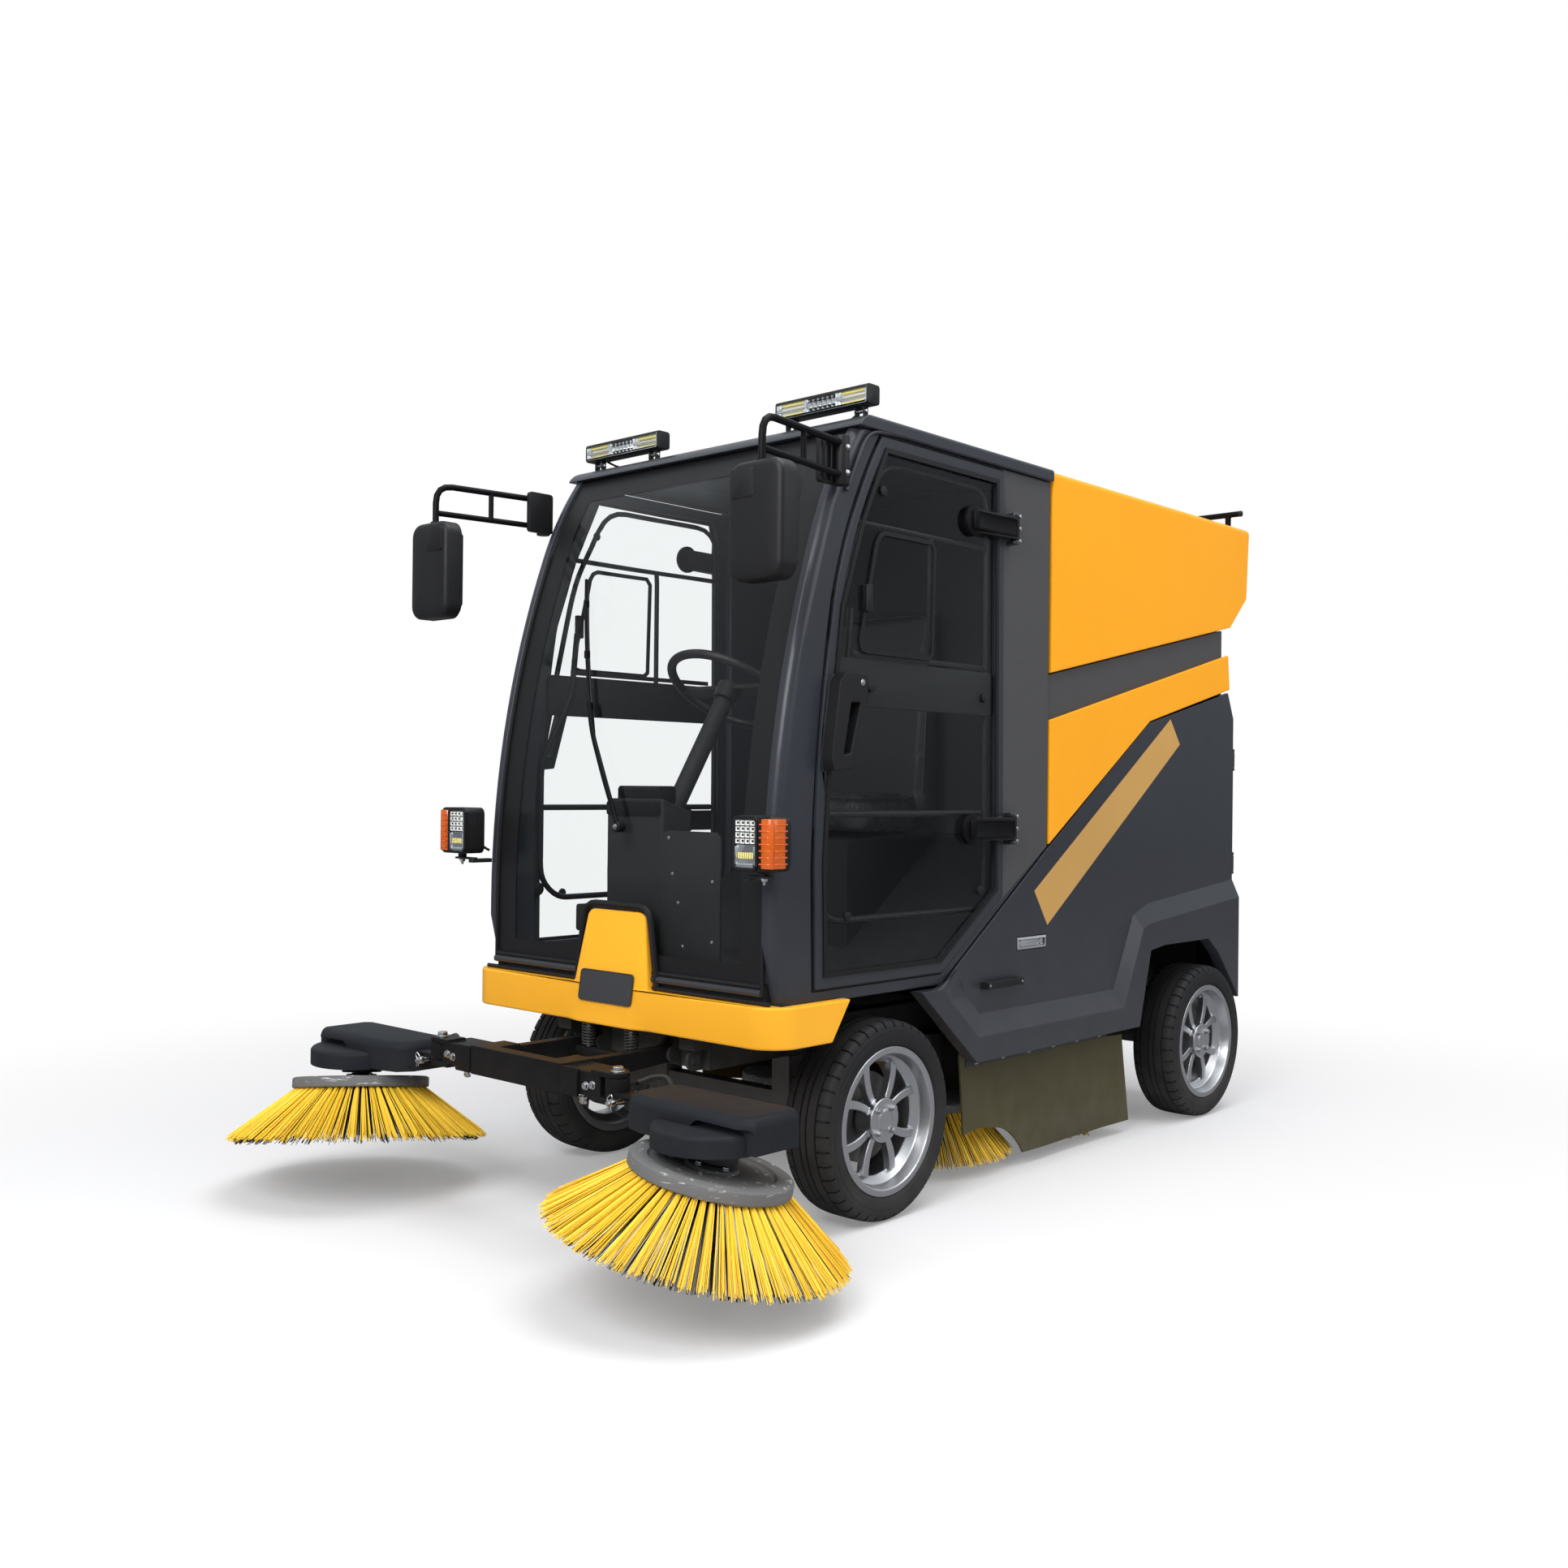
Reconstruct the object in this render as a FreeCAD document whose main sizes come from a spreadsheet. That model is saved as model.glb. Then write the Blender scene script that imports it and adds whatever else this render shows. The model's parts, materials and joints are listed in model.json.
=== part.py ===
# Compact road sweeper with a driver's cab, a tipping hopper and disc brushes.
# Millimetres. Lengths along Y are counted from the front axle, and every sub-part's
# Placement moves it back by front_axle_y, so the origin is under the middle of the whole.
# X is to the vehicle's left, the front looks along -Y, and Z is up from the ground.

import FreeCAD
import Part
import Sketcher
import math
import os
import re

doc = FreeCAD.newDocument("compact_road_sweeper")
sheet = doc.addObject("Spreadsheet::Sheet", "Sizes")
Vector = FreeCAD.Vector

# Driving dimensions
sizes = {
    # Wheels and axles
    "wheelbase": 1893, "tyre_radius": 280, "tyre_width": 165, "wheel_x": 565,
    "rim_width": 157, "flange_radius": 208, "flange_width": 8.5, "seat_radius": 192,
    "well_radius": 165, "rim_wall": 8, "hub_radius": 62, "hub_depth": 60, "tyre_gap": 0.3,
    "spoke_depth": 26, "spoke_set": 30, "spoke_width": 24, "spoke_foot": 7, "spoke_spread": 48,
    "cap_radius": 30, "spindle_radius": 20, "running_gap": 0.05, "seat_gap": 0.3,
    "kingpin_x": 440, "kingpin_radius": 12, "eye_radius": 30, "eye_height": 90,
    "ear_height": 22, "drum_radius": 128, "drum_width": 48, "drum_x": 505,
    "axle_height": 60, "axle_width": 50, "axle_tube_radius": 38, "drive_radius": 95,
    # Ladder frame
    "rail_x": 260, "rail_width": 60, "rail_base": 420, "rail_height": 100,
    "rail_front": -360, "cross_width": 60, "outrigger_x": 565, "mount_width": 70,
    "spring_width": 70,
    # Cab
    "cab_half": 605, "ring_width": 40, "cab_base": 630, "nose_y": -450, "cab_tail": 850,
    "nose_base": 800, "nose_top": 850, "brow_y": -260, "brow_drop": 267, "roof_base": 2197,
    "roof_front": -121, "chin_y": -410, "roof_half": 620, "roof_thick": 38, "roof_edge": 12,
    "pillar_round": 28, "glass_thick": 6, "glass_inset": 12, "glass_base": 690,
    "floor_thick": 30, "floor_base": 640, "floor_tail": 285, "slope_top": 1024,
    "pillar_base_y": 376, "pillar_base_z": 698, "rear_wall": 30,
    # Cab doors
    "door_front": -294, "door_tail": 587, "door_base": 667, "door_lintel": 12,
    "door_gap": 6, "door_inner": 590, "door_thick": 22, "door_rim": 34, "door_glass": 6,
    "hinge_x": 632, "hinge_y": 608, "hinge_radius": 14, "hinge_pin": 8, "hinge_low": 1050,
    "hinge_drop": 222, "hinge_height": 70, "hinge_ear": 14, "strap_length": 200,
    "strap_thick": 10, "handle_y": -273, "handle_z": 1250, "handle_length": 154,
    "handle_height": 265, "handle_out": 40,
    # Cab inside
    "console_half": 120, "console_y": -385, "console_depth": 120, "console_top": 1170,
    "column_radius": 28, "column_length": 600, "steer_y": 0, "steer_z": 1500,
    "steer_radius": 190, "steer_tube": 14, "steer_tilt": 32, "steer_hub": 38,
    "bench_half": 250, "bench_front": 330, "bench_tail": 790, "bench_top": 1040,
    "cushion_thick": 120, "back_thick": 110, "head_room": 367, "back_lean": 60,
    # Bumper
    "bumper_half": 645, "bumper_front": -497, "bumper_back": -420, "bumper_base": 527,
    "bumper_top": 637, "bumper_round": 95, "bumper_side": 34, "bumper_lower_tail": -250,
    "bumper_upper_tail": -175, "hump_half": 105, "hump_flare": 60, "hump_top": 850,
    "hump_lean": 45, "hump_proud": 14, "hump_round": 38,
    # Lamps, mirrors and wiper
    "lamp_x": 565, "lamp_width": 140, "lamp_base": 990, "lamp_height": 145, "lamp_y": -565,
    "lamp_depth": 80, "lens_thick": 6, "lens_rim": 10, "lamp_arm": 14,
    "bar_x": 250, "bar_length": 350, "bar_lift": 35, "bar_height": 58, "bar_depth": 60,
    "bar_y": -50, "bar_foot": 30,
    "mirror_x": 690, "mirror_y": -597, "mirror_drop": 266, "mirror_width": 190,
    "mirror_height": 300, "mirror_depth": 68, "mirror_round": 30, "pivot_x": 632,
    "pivot_y": -224, "pivot_drop": 184, "pivot_height": 134, "pivot_radius": 22,
    "tube_radius": 10, "arm_foot": 28, "arm_rise": 86, "wiper_z": 1088,
    # Body behind the cab
    "shell_half": 595, "shell_wall": 10, "deck_thick": 12, "shell_front": 856,
    "shell_lap": 24, "post_width": 40, "post_y": 880, "fairing_thick": 14,
    "band_drop": 153, "band_lift": 108, "knee_y": 1512, "knee_rise": 23, "stripe_drop": 132,
    "rear_overhang": 297, "panel_thick": 25, "panel_half": 572, "panel_base": 622,
    "panel_neck": 455, "panel_foot": 400, "panel_gap": 38, "panel_hip": 868,
    "top_lead": 78, "knee_lead": 60, "knee_drop": 244, "waist_lead": 16, "waist_drop": 100,
    "louvre_length": 240, "louvre_height": 13, "louvre_step": 44, "louvre_z": 960,
    "tail_lamp_x": 440, "tail_lamp_z": 800, "tail_lamp_radius": 55, "tail_lamp_depth": 30,
    "battery_half": 400, "battery_front": 960, "battery_length": 560, "battery_height": 400,
    # Hopper
    "hopper_half": 610, "hopper_front": 860, "hopper_overhang": 95, "hopper_top": 2235,
    "hopper_depth": 652, "heel_rise": 255, "chin_rise": 122, "chin_lead": 20,
    "hopper_wall": 10, "hopper_round": 22, "hopper_gap": 7, "hatch_half": 555,
    "hatch_sill": 30, "hatch_lintel": 40, "hatch_thick": 18, "hatch_gap": 5,
    "hatch_pin": 5, "hatch_ear": 14, "tip_lead": 25, "tip_drop": 158, "tip_pin": 12,
    "tip_x": 400, "lug_width": 22, "lug_radius": 30,
    "rail_rise": 57, "rail_tube_radius": 11, "rail_lead": 60,
    # Side doors
    "side_inner": 590, "side_thick": 15, "skirt_out": 30, "side_front": 150,
    "side_lead": 18, "side_base": 385, "side_gap": 6, "pin_x": 590, "pin_radius": 6,
    "pin_barrel": 11, "pin_low": 900, "pin_high": 1300, "pin_height": 60,
    "skirt_foot_y": 430, "arch_front_y": 1410, "arch_z": 645, "arch_rise_y": 1486,
    "arch_top_y": 1590, "arch_end_y": 1920, "arch_round": 104, "facet_low_z": 525,
    "facet_high_z": 462, "facet_rise_y": 1277, "facet_knee_y": 1407, "facet_knee_z": 772,
    "facet_top_z": 868, "facet_lip": 67,
    "latch_y": 680, "latch_length": 170, "latch_z": 700, "latch_height": 43,
    "latch_deep": 8, "grip_y": 485, "grip_length": 195, "grip_z": 610, "grip_height": 22,
    "grip_width": 18, "grip_out": 30,
    # Main brush, its hood and the flaps beside it
    "roller_y": 1200, "roller_radius": 172, "roller_half": 530, "roller_z": 182,
    "roller_shaft": 18, "hood_wall": 8, "hood_half": 555, "hood_gap": 22,
    "flap_thick": 6, "flap_top": 402, "flap_front_y": 462, "flap_tail_y": 1457,
    "flap_foot_y": 620, "flap_foot_z": 150, "flap_base_y": 789, "flap_base": 44,
    # Middle brushes
    "mid_x": 300, "mid_y": 620, "mid_disc": 160, "mid_root": 110, "mid_inner": 220,
    "mid_tip": 280, "mid_z": 185, "mid_thick": 30, "mid_ground": 30, "mid_motor": 55,
    # Front brushes on their boom
    "boom_pivot_y": -388, "boom_pivot_z": 455, "boom_pin": 12, "boom_arm_x": 150,
    "boom_arm_width": 36, "boom_ear": 12, "boom_eye": 22, "tie_radius": 12,
    "beam_front": -805, "beam_back": -690, "beam_base": 406, "beam_height": 79,
    "beam_half": 340, "beam_wide": 195, "beam_step": 8, "notch_half": 120,
    "notch_depth": 70, "arm_pin_x": 376, "arm_pin_y": -770, "arm_pin": 12, "arm_eye": 32,
    "arm_plate": 14, "brush_x": 746, "brush_y": -800, "brush_z": 323, "brush_tilt": 12,
    "brush_disc": 198, "brush_thick": 33, "brush_tip": 375, "brush_drop": 190,
    "brush_root": 175, "brush_inner_root": 120, "brush_inner_tip": 350, "tip_ragged": 10,
    "motor_radius": 150, "motor_height": 62, "cover_in": 470, "cover_out": 920,
    "cover_front": -860, "cover_back": -660, "cover_top": 460, "cover_base": 372,
    "cover_cut": 30, "cover_recess": 20, "cover_ledge": 24, "spring_x": 91,
    "spring_y": -469, "spring_radius": 22,
    # Towing eyes
    "eye_bore": 14, "eye_plate": 12, "eye_out": 30,
}

# Sizes that follow from the others, as formulas in the same sheet
derived = {
    "panel_tail": "wheelbase + rear_overhang",
    "rail_tail": "panel_tail - panel_thick",
    "panel_top_y": "panel_tail - top_lead",
    "panel_knee_y": "panel_tail - knee_lead",
    "panel_waist_y": "panel_tail - waist_lead",
    "stripe_y": "panel_knee_y",
    "side_tail": "panel_tail - side_lead",
    "pin_y": "panel_tail",
    "tip_y": "panel_tail - tip_lead",
    "hopper_tail": "panel_tail + hopper_overhang",
    "chin_tail_y": "hopper_tail - chin_lead",
    "heel_y": "panel_knee_y",
    "rail_tube_y": "hopper_tail - rail_lead",
    "hopper_low": "hopper_top - hopper_depth",
    "heel_z": "hopper_low + heel_rise",
    "chin_z": "heel_z + chin_rise",
    "hatch_base": "chin_z + hatch_sill",
    "hatch_top": "hopper_top - hatch_lintel",
    "tip_z": "heel_z - tip_drop",
    "tube_z": "hopper_top + rail_rise",
    "panel_top": "heel_z - panel_gap",
    "panel_knee_z": "heel_z - knee_drop",
    "panel_waist_z": "panel_knee_z - waist_drop",
    "band_low": "hopper_low - band_drop",
    "band_high": "heel_z - band_lift",
    "knee_z": "band_low + knee_rise",
    "stripe_z": "band_high - stripe_drop",
    "brow_z": "roof_base - brow_drop",
    "door_top": "roof_base - door_lintel",
    "hinge_high": "roof_base - hinge_drop",
    "back_top": "roof_base - head_room",
    "bar_base": "roof_base + roof_thick + bar_lift",
    "pivot_base": "roof_base - pivot_drop",
    "arm_low": "pivot_base + arm_foot",
    "arm_high": "arm_low + arm_rise",
    "mirror_z": "arm_high - mirror_drop",
    "wiper_reach": "(brow_z - wiper_z) * 0.89",
}

for row, (name, number) in enumerate(list(sizes.items()) + list(derived.items()), start=1):
    sheet.set("A%d" % row, name)
    sheet.set("B%d" % row, "=%s" % number)
    sheet.setAlias("B%d" % row, name)
doc.recompute()

# The way the disc of a front brush leans: outwards and back, as shares of a unit vector
lean_out_share = 0.75
lean_back_share = 0.66

word = re.compile(r"\b[a-z][a-z_]*[a-z]\b")
named = set(sizes) | set(derived)


def bound(text):
    """The expression with each size named as a cell of the sheet."""
    return word.sub(lambda found: "Sizes." + found.group() if found.group() in named
                    else found.group(), str(text))


def value(text):
    """The number that an expression of sizes gives."""
    return float(sheet.evalExpression(str(text)))


def set_size(thing, prop, text):
    thing.setExpression(prop, bound(text))


# The front reach of a leaning brush sets where the front axle lies
back_slope = "(%s * sin(brush_tilt))" % lean_back_share
front_reach = "(brush_tip * sqrt(1 - %s ^ 2) + brush_drop * %s - brush_y)" % (back_slope, back_slope)
front_axle_y = "(%s - hopper_tail) / 2" % front_reach


def seat(thing, label, x=None, y=None, z=None):
    """Name a sub-part and place it, with Y counted from the front axle."""
    thing.Label = label
    set_size(thing, "Placement.Base.y", "%s + (%s)" % (front_axle_y, y or "0"))
    if x:
        set_size(thing, "Placement.Base.x", x)
    if z:
        set_size(thing, "Placement.Base.z", z)
    parts.append(thing)
    return thing


parts = []
planes = {"XY": "XY_Plane", "XZ": "XZ_Plane", "YZ": "YZ_Plane"}


def new_body(name):
    body = doc.addObject("PartDesign::Body", name)
    body.AllowCompound = True
    return body


def new_sketch(body, plane, start):
    """A sketch on one of the body's origin planes, moved along that plane's axis."""
    sketch = body.newObject("Sketcher::SketchObject", "sketch")
    origin = [f for f in body.Origin.OriginFeatures if f.Role == planes[plane]][0]
    sketch.AttachmentSupport = [(origin, "")]
    sketch.MapMode = "FlatFace"
    if plane == "XZ":
        set_size(sketch, ".AttachmentOffset.Base.z", "-(%s)" % start)
    else:
        set_size(sketch, ".AttachmentOffset.Base.z", start)
    return sketch


def pin_point(sketch, edge, end, point):
    """Hold one end of an edge at a place given in sizes."""
    for kind, text in (("DistanceX", point[0]), ("DistanceY", point[1])):
        number = sketch.addConstraint(Sketcher.Constraint(kind, -1, 1, edge, end, value(text)))
        sketch.setExpression("Constraints[%d]" % number, bound(text))


def draw_outline(sketch, points):
    """A closed outline. A third entry is the rise of the arc to the next point, as a share
    of its chord, to the left of the way the outline runs."""
    spots = [Vector(value(p[0]), value(p[1]), 0) for p in points]
    edges = []
    for index, point in enumerate(points):
        start = spots[index]
        end = spots[(index + 1) % len(points)]
        if len(point) == 2:
            edges.append(sketch.addGeometry(Part.LineSegment(start, end), False))
        else:
            chord = end - start
            middle = (start + end) * 0.5 + Vector(-chord.y, chord.x, 0) * point[2]
            edges.append(sketch.addGeometry(Part.Arc(start, middle, end), False))
    ends = []
    for index, edge in enumerate(edges):
        same_way = (sketch.getPoint(edge, 1) - spots[index]).Length < \
            (sketch.getPoint(edge, 2) - spots[index]).Length
        ends.append((1, 2) if same_way else (2, 1))
    for index, edge in enumerate(edges):
        after = (index + 1) % len(edges)
        sketch.addConstraint(Sketcher.Constraint(
            "Coincident", edge, ends[index][1], edges[after], ends[after][0]))
    for index, edge in enumerate(edges):
        pin_point(sketch, edge, ends[index][0], points[index])
    for index, point in enumerate(points):
        if len(point) == 3:
            after = points[(index + 1) % len(points)]
            rise_share = abs(point[2])
            chord_text = "sqrt((%s - (%s)) ^ 2 + (%s - (%s)) ^ 2)" % (
                after[0], point[0], after[1], point[1])
            radius = "%s * %r" % (chord_text, 1 / (8 * rise_share) + rise_share / 2)
            number = sketch.addConstraint(
                Sketcher.Constraint("Radius", edges[index], value(radius)))
            sketch.setExpression("Constraints[%d]" % number, bound(radius))


def draw_circle(sketch, x, y, radius):
    circle = Part.Circle(Vector(value(x), value(y), 0), Vector(0, 0, 1), value(radius))
    edge = sketch.addGeometry(circle, False)
    pin_point(sketch, edge, 3, (x, y))
    number = sketch.addConstraint(Sketcher.Constraint("Radius", edge, value(radius)))
    sketch.setExpression("Constraints[%d]" % number, bound(radius))


def shape_sketch(body, plane, outlines, start):
    sketch = new_sketch(body, plane, start)
    for outline in outlines:
        if outline[0] == "circle":
            draw_circle(sketch, *outline[1:])
        else:
            draw_outline(sketch, outline)
    return sketch


def pad(body, plane, outlines, start, stop):
    """Add material between two planes."""
    sketch = shape_sketch(body, plane, outlines, start)
    feature = body.newObject("PartDesign::Pad", "pad")
    feature.Profile = sketch
    set_size(feature, "Length", "(%s) - (%s)" % (stop, start))
    feature.Reversed = plane == "XZ"
    doc.recompute()
    return feature


def pocket(body, plane, outlines, start, stop):
    """Take material away between two planes."""
    before = body.Shape.Volume
    sketch = shape_sketch(body, plane, outlines, start)
    feature = body.newObject("PartDesign::Pocket", "pocket")
    feature.Profile = sketch
    set_size(feature, "Length", "(%s) - (%s)" % (stop, start))
    feature.Reversed = plane != "XZ"
    doc.recompute()
    if body.Shape.Volume >= before:
        raise ValueError("%s: a pocket cuts nothing" % body.Name)
    return feature


def revolve(body, plane, outlines, axis):
    sketch = shape_sketch(body, plane, outlines, "0")
    feature = body.newObject("PartDesign::Revolution", "revolution")
    feature.Profile = sketch
    feature.ReferenceAxis = (sketch, [axis])
    feature.Angle = 360
    doc.recompute()
    return feature


def edges_where(shape, test):
    """Names of the open edges whose middle point and direction pass a test."""
    names = []
    for index, edge in enumerate(shape.Edges, start=1):
        ends = [vertex.Point for vertex in edge.Vertexes]
        if len(ends) == 2:
            middle = edge.valueAt((edge.FirstParameter + edge.LastParameter) / 2)
            if test(middle, (ends[1] - ends[0]).normalize()):
                names.append("Edge%d" % index)
    return names


def round_edges(body, radius, test):
    """Round the edges that pass the test."""
    base = body.Tip
    feature = body.newObject("PartDesign::Fillet", "fillet")
    feature.Base = (base, edges_where(base.Shape, test))
    set_size(feature, "Radius", radius)
    doc.recompute()
    return feature


def box(low, high):
    """A rectangle outline for a sketch."""
    return [(low[0], low[1]), (high[0], low[1]), (high[0], high[1]), (low[0], high[1])]


def outline(shares, start, length, base, height):
    """Points given as shares of a length and a height."""
    points = []
    for share in shares:
        spot = ("%s + %s * (%s)" % (start, share[0], length),
                "%s + %s * (%s)" % (base, share[1], height))
        points.append(spot + tuple(share[2:]))
    return points


def mirrored(source, name):
    """The same piece on the other side."""
    copy = doc.addObject("Part::Mirroring", name)
    copy.Source = source
    copy.Normal = Vector(1, 0, 0)
    return copy


def both_sides(label, source):
    """One node with the piece on both sides."""
    joined = doc.addObject("Part::Compound", label)
    joined.Links = [source, mirrored(source, label + "_other")]
    doc.recompute()
    return seat(joined, label)


def left_and_right(stem, source):
    """Two nodes, the right one a mirror image of the left one."""
    seat(source, stem + "_left")
    doc.recompute()
    copy = mirrored(source, stem + "_right")
    copy.Label = stem + "_right"
    parts.append(copy)
    doc.recompute()


def rod(name, start, stop, radius):
    """A round bar between two points, each given as three expressions."""
    a = Vector(*[value(text) for text in start])
    b = Vector(*[value(text) for text in stop])
    bar = doc.addObject("Part::Cylinder", name)
    set_size(bar, "Radius", radius)
    bar.Height = (b - a).Length
    bar.Placement = FreeCAD.Placement(a, FreeCAD.Rotation(Vector(0, 0, 1), b - a))
    return bar


def fused(name, pieces):
    joined = doc.addObject("Part::MultiFuse", name)
    joined.Shapes = pieces
    doc.recompute()
    return joined


# Tyres: a moulded ring that sits between the rim's flanges
def make_tyre(label, side, axle_y):
    body = new_body(label)
    seat_r = "seat_radius + tyre_gap"
    bead = "rim_width / 2 - flange_width - tyre_gap"
    over = "flange_radius + tyre_gap"
    half = [(bead, seat_r), (bead, over), ("tyre_width * 0.47", "flange_radius + 6 * tyre_gap"),
            ("tyre_width / 2", "tyre_radius * 0.84"), ("tyre_width * 0.485", "tyre_radius * 0.925"),
            ("tyre_width * 0.41", "tyre_radius * 0.985"), ("tyre_width * 0.28", "tyre_radius")]
    other = [("-(%s)" % x, r) for x, r in reversed(half)]
    revolve(body, "XY", [half + other], "H_Axis")
    seat(body, label, "%s * wheel_x" % side, axle_y, "tyre_radius")


# Rims: a cast barrel with a bored hub and four pairs of curved spokes
spoke_bend_share = 0.09


def make_rim(label, side, axle_y):
    body = new_body(label)
    lip = "rim_width / 2"
    seat_x = "rim_width / 2 - flange_width"
    profile = [
        (lip, "flange_radius"), (seat_x, "flange_radius"), (seat_x, "seat_radius"),
        ("rim_width * 0.25", "seat_radius - rim_wall / 2"), ("rim_width * 0.14", "well_radius"),
        ("-rim_width * 0.2", "well_radius"), ("-rim_width * 0.28", "seat_radius - rim_wall / 2"),
        ("-(%s)" % seat_x, "seat_radius"), ("-(%s)" % seat_x, "flange_radius"),
        ("-(%s)" % lip, "flange_radius"), ("-(%s)" % lip, "seat_radius - rim_wall"),
        ("-rim_width * 0.3", "seat_radius - 1.5 * rim_wall"),
        ("-rim_width * 0.22", "well_radius - rim_wall"),
        ("rim_width * 0.16", "well_radius - rim_wall"),
        ("rim_width * 0.27", "seat_radius - 1.5 * rim_wall"),
        (lip, "seat_radius - rim_wall / 2"),
    ]
    revolve(body, "XY", [profile], "H_Axis")
    hub_back = "spoke_set - hub_depth / 2"
    hub_front = "spoke_set + hub_depth / 2"
    pad(body, "YZ", [("circle", "0", "0", "hub_radius")], hub_back, hub_front)
    for way, bend in (("", spoke_bend_share), ("-", -spoke_bend_share)):
        near = "%sspoke_foot" % way
        near_out = "%s(spoke_foot + spoke_width)" % way
        far = "%sspoke_spread" % way
        far_out = "%s(spoke_spread + spoke_width)" % way
        reach = "sqrt((well_radius - rim_wall / 4) ^ 2 - (%s) ^ 2)"
        pad(body, "YZ", [[("hub_radius * 0.6", near, bend), (reach % far, far),
                          (reach % far_out, far_out, -bend), ("hub_radius * 0.6", near_out)]],
            "spoke_set - spoke_depth / 2", "spoke_set + spoke_depth / 2")
        spoke = body.Tip
        pattern = body.newObject("PartDesign::PolarPattern", "spokes")
        pattern.Originals = [spoke]
        axis = [f for f in body.Origin.OriginFeatures if f.Role == "X_Axis"][0]
        pattern.Axis = (axis, [""])
        pattern.Angle = 360
        pattern.Occurrences = 4
        body.Tip = pattern
        doc.recompute()
    pocket(body, "YZ", [("circle", "0", "0", "spindle_radius + running_gap")],
           "-rim_width", "rim_width")
    pad(body, "YZ", [("circle", "0", "0", "cap_radius")], hub_front,
        "%s + rim_wall / 2" % hub_front)
    if side < 0:
        body.Placement.Rotation = FreeCAD.Rotation(Vector(0, 0, 1), 180)
    seat(body, label, "%s * wheel_x" % side, axle_y, "tyre_radius")


for side, side_name in ((1, "left"), (-1, "right")):
    for axle_y, axle_name in (("0", "front"), ("wheelbase", "rear")):
        make_tyre("tyre_%s_%s" % (axle_name, side_name), side, axle_y)
        make_rim("rim_%s_%s" % (axle_name, side_name), side, axle_y)

# Front axle: a beam with an upright eye for the kingpin at each end
spindle_end = "wheel_x + spoke_set + hub_depth / 2 - seat_gap"
body = new_body("front_axle")
pad(body, "YZ", [box(("-axle_width / 2", "tyre_radius - axle_height / 2"),
                     ("axle_width / 2", "tyre_radius + axle_height / 2"))],
    "-kingpin_x", "kingpin_x")
for side in (1, -1):
    eye = ("circle", "%s * kingpin_x" % side, "0", "eye_radius")
    pad(body, "XY", [eye], "tyre_radius - eye_height / 2", "tyre_radius + eye_height / 2")
    pad(body, "XY", [box(("%s * rail_x - spring_width / 2" % side, "-spring_width / 2"),
                         ("%s * rail_x + spring_width / 2" % side, "spring_width / 2"))],
        "tyre_radius", "rail_base")
for side in (1, -1):
    bore = ("circle", "%s * kingpin_x" % side, "0", "kingpin_radius + running_gap")
    pocket(body, "XY", [bore], "tyre_radius - eye_height", "tyre_radius + eye_height")
seat(body, "front_axle")

# Knuckle: kingpin, two ears, the brake's back plate drum and the wheel's spindle
body = new_body("knuckle")
eye_low = "tyre_radius - eye_height / 2 - seat_gap"
eye_high = "tyre_radius + eye_height / 2 + seat_gap"
pad(body, "XY", [("circle", "kingpin_x", "0", "kingpin_radius")],
    "%s - ear_height" % eye_low, "%s + ear_height" % eye_high)
ear = [("kingpin_x - eye_radius", "-eye_radius"), ("drum_x", "-eye_radius"),
       ("drum_x", "eye_radius"), ("kingpin_x - eye_radius", "eye_radius")]
pad(body, "XY", [ear], "%s - ear_height" % eye_low, eye_low)
pad(body, "XY", [ear], eye_high, "%s + ear_height" % eye_high)
pad(body, "YZ", [("circle", "0", "tyre_radius", "drum_radius")], "drum_x",
    "drum_x + drum_width")
pad(body, "YZ", [("circle", "0", "tyre_radius", "spindle_radius")], "drum_x", spindle_end)
left_and_right("knuckle", body)

# Rear axle: a tube with the drive housing in the middle, drums and spindles at the ends
body = new_body("rear_axle")
centre = ("wheelbase", "tyre_radius")
pad(body, "YZ", [("circle",) + centre + ("axle_tube_radius",)], "-drum_x", "drum_x")
pad(body, "YZ", [("circle",) + centre + ("drive_radius",)], "-rail_x / 2", "rail_x / 2")
pad(body, "YZ", [("circle",) + centre + ("spindle_radius",)], "-(%s)" % spindle_end, spindle_end)
for side in (1, -1):
    low, high = ("drum_x", "drum_x + drum_width")
    if side < 0:
        low, high = ("-drum_x - drum_width", "-drum_x")
    pad(body, "YZ", [("circle",) + centre + ("drum_radius",)], low, high)
    pad(body, "XY", [box(("%s * rail_x - spring_width / 2" % side, "wheelbase - spring_width / 2"),
                         ("%s * rail_x + spring_width / 2" % side, "wheelbase + spring_width / 2"))],
        "tyre_radius", "rail_base")
seat(body, "rear_axle")

# Ladder frame: two rails, cross members, outriggers and the rubber mounts under the cab
rail_in = "rail_x - rail_width / 2"
rail_out = "rail_x + rail_width / 2"
rail_top = "rail_base + rail_height"
body = new_body("rail")
pad(body, "YZ", [box(("rail_front", "rail_base"), ("rail_tail", rail_top))], rail_in, rail_out)
both_sides("frame_rails", body)

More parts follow.
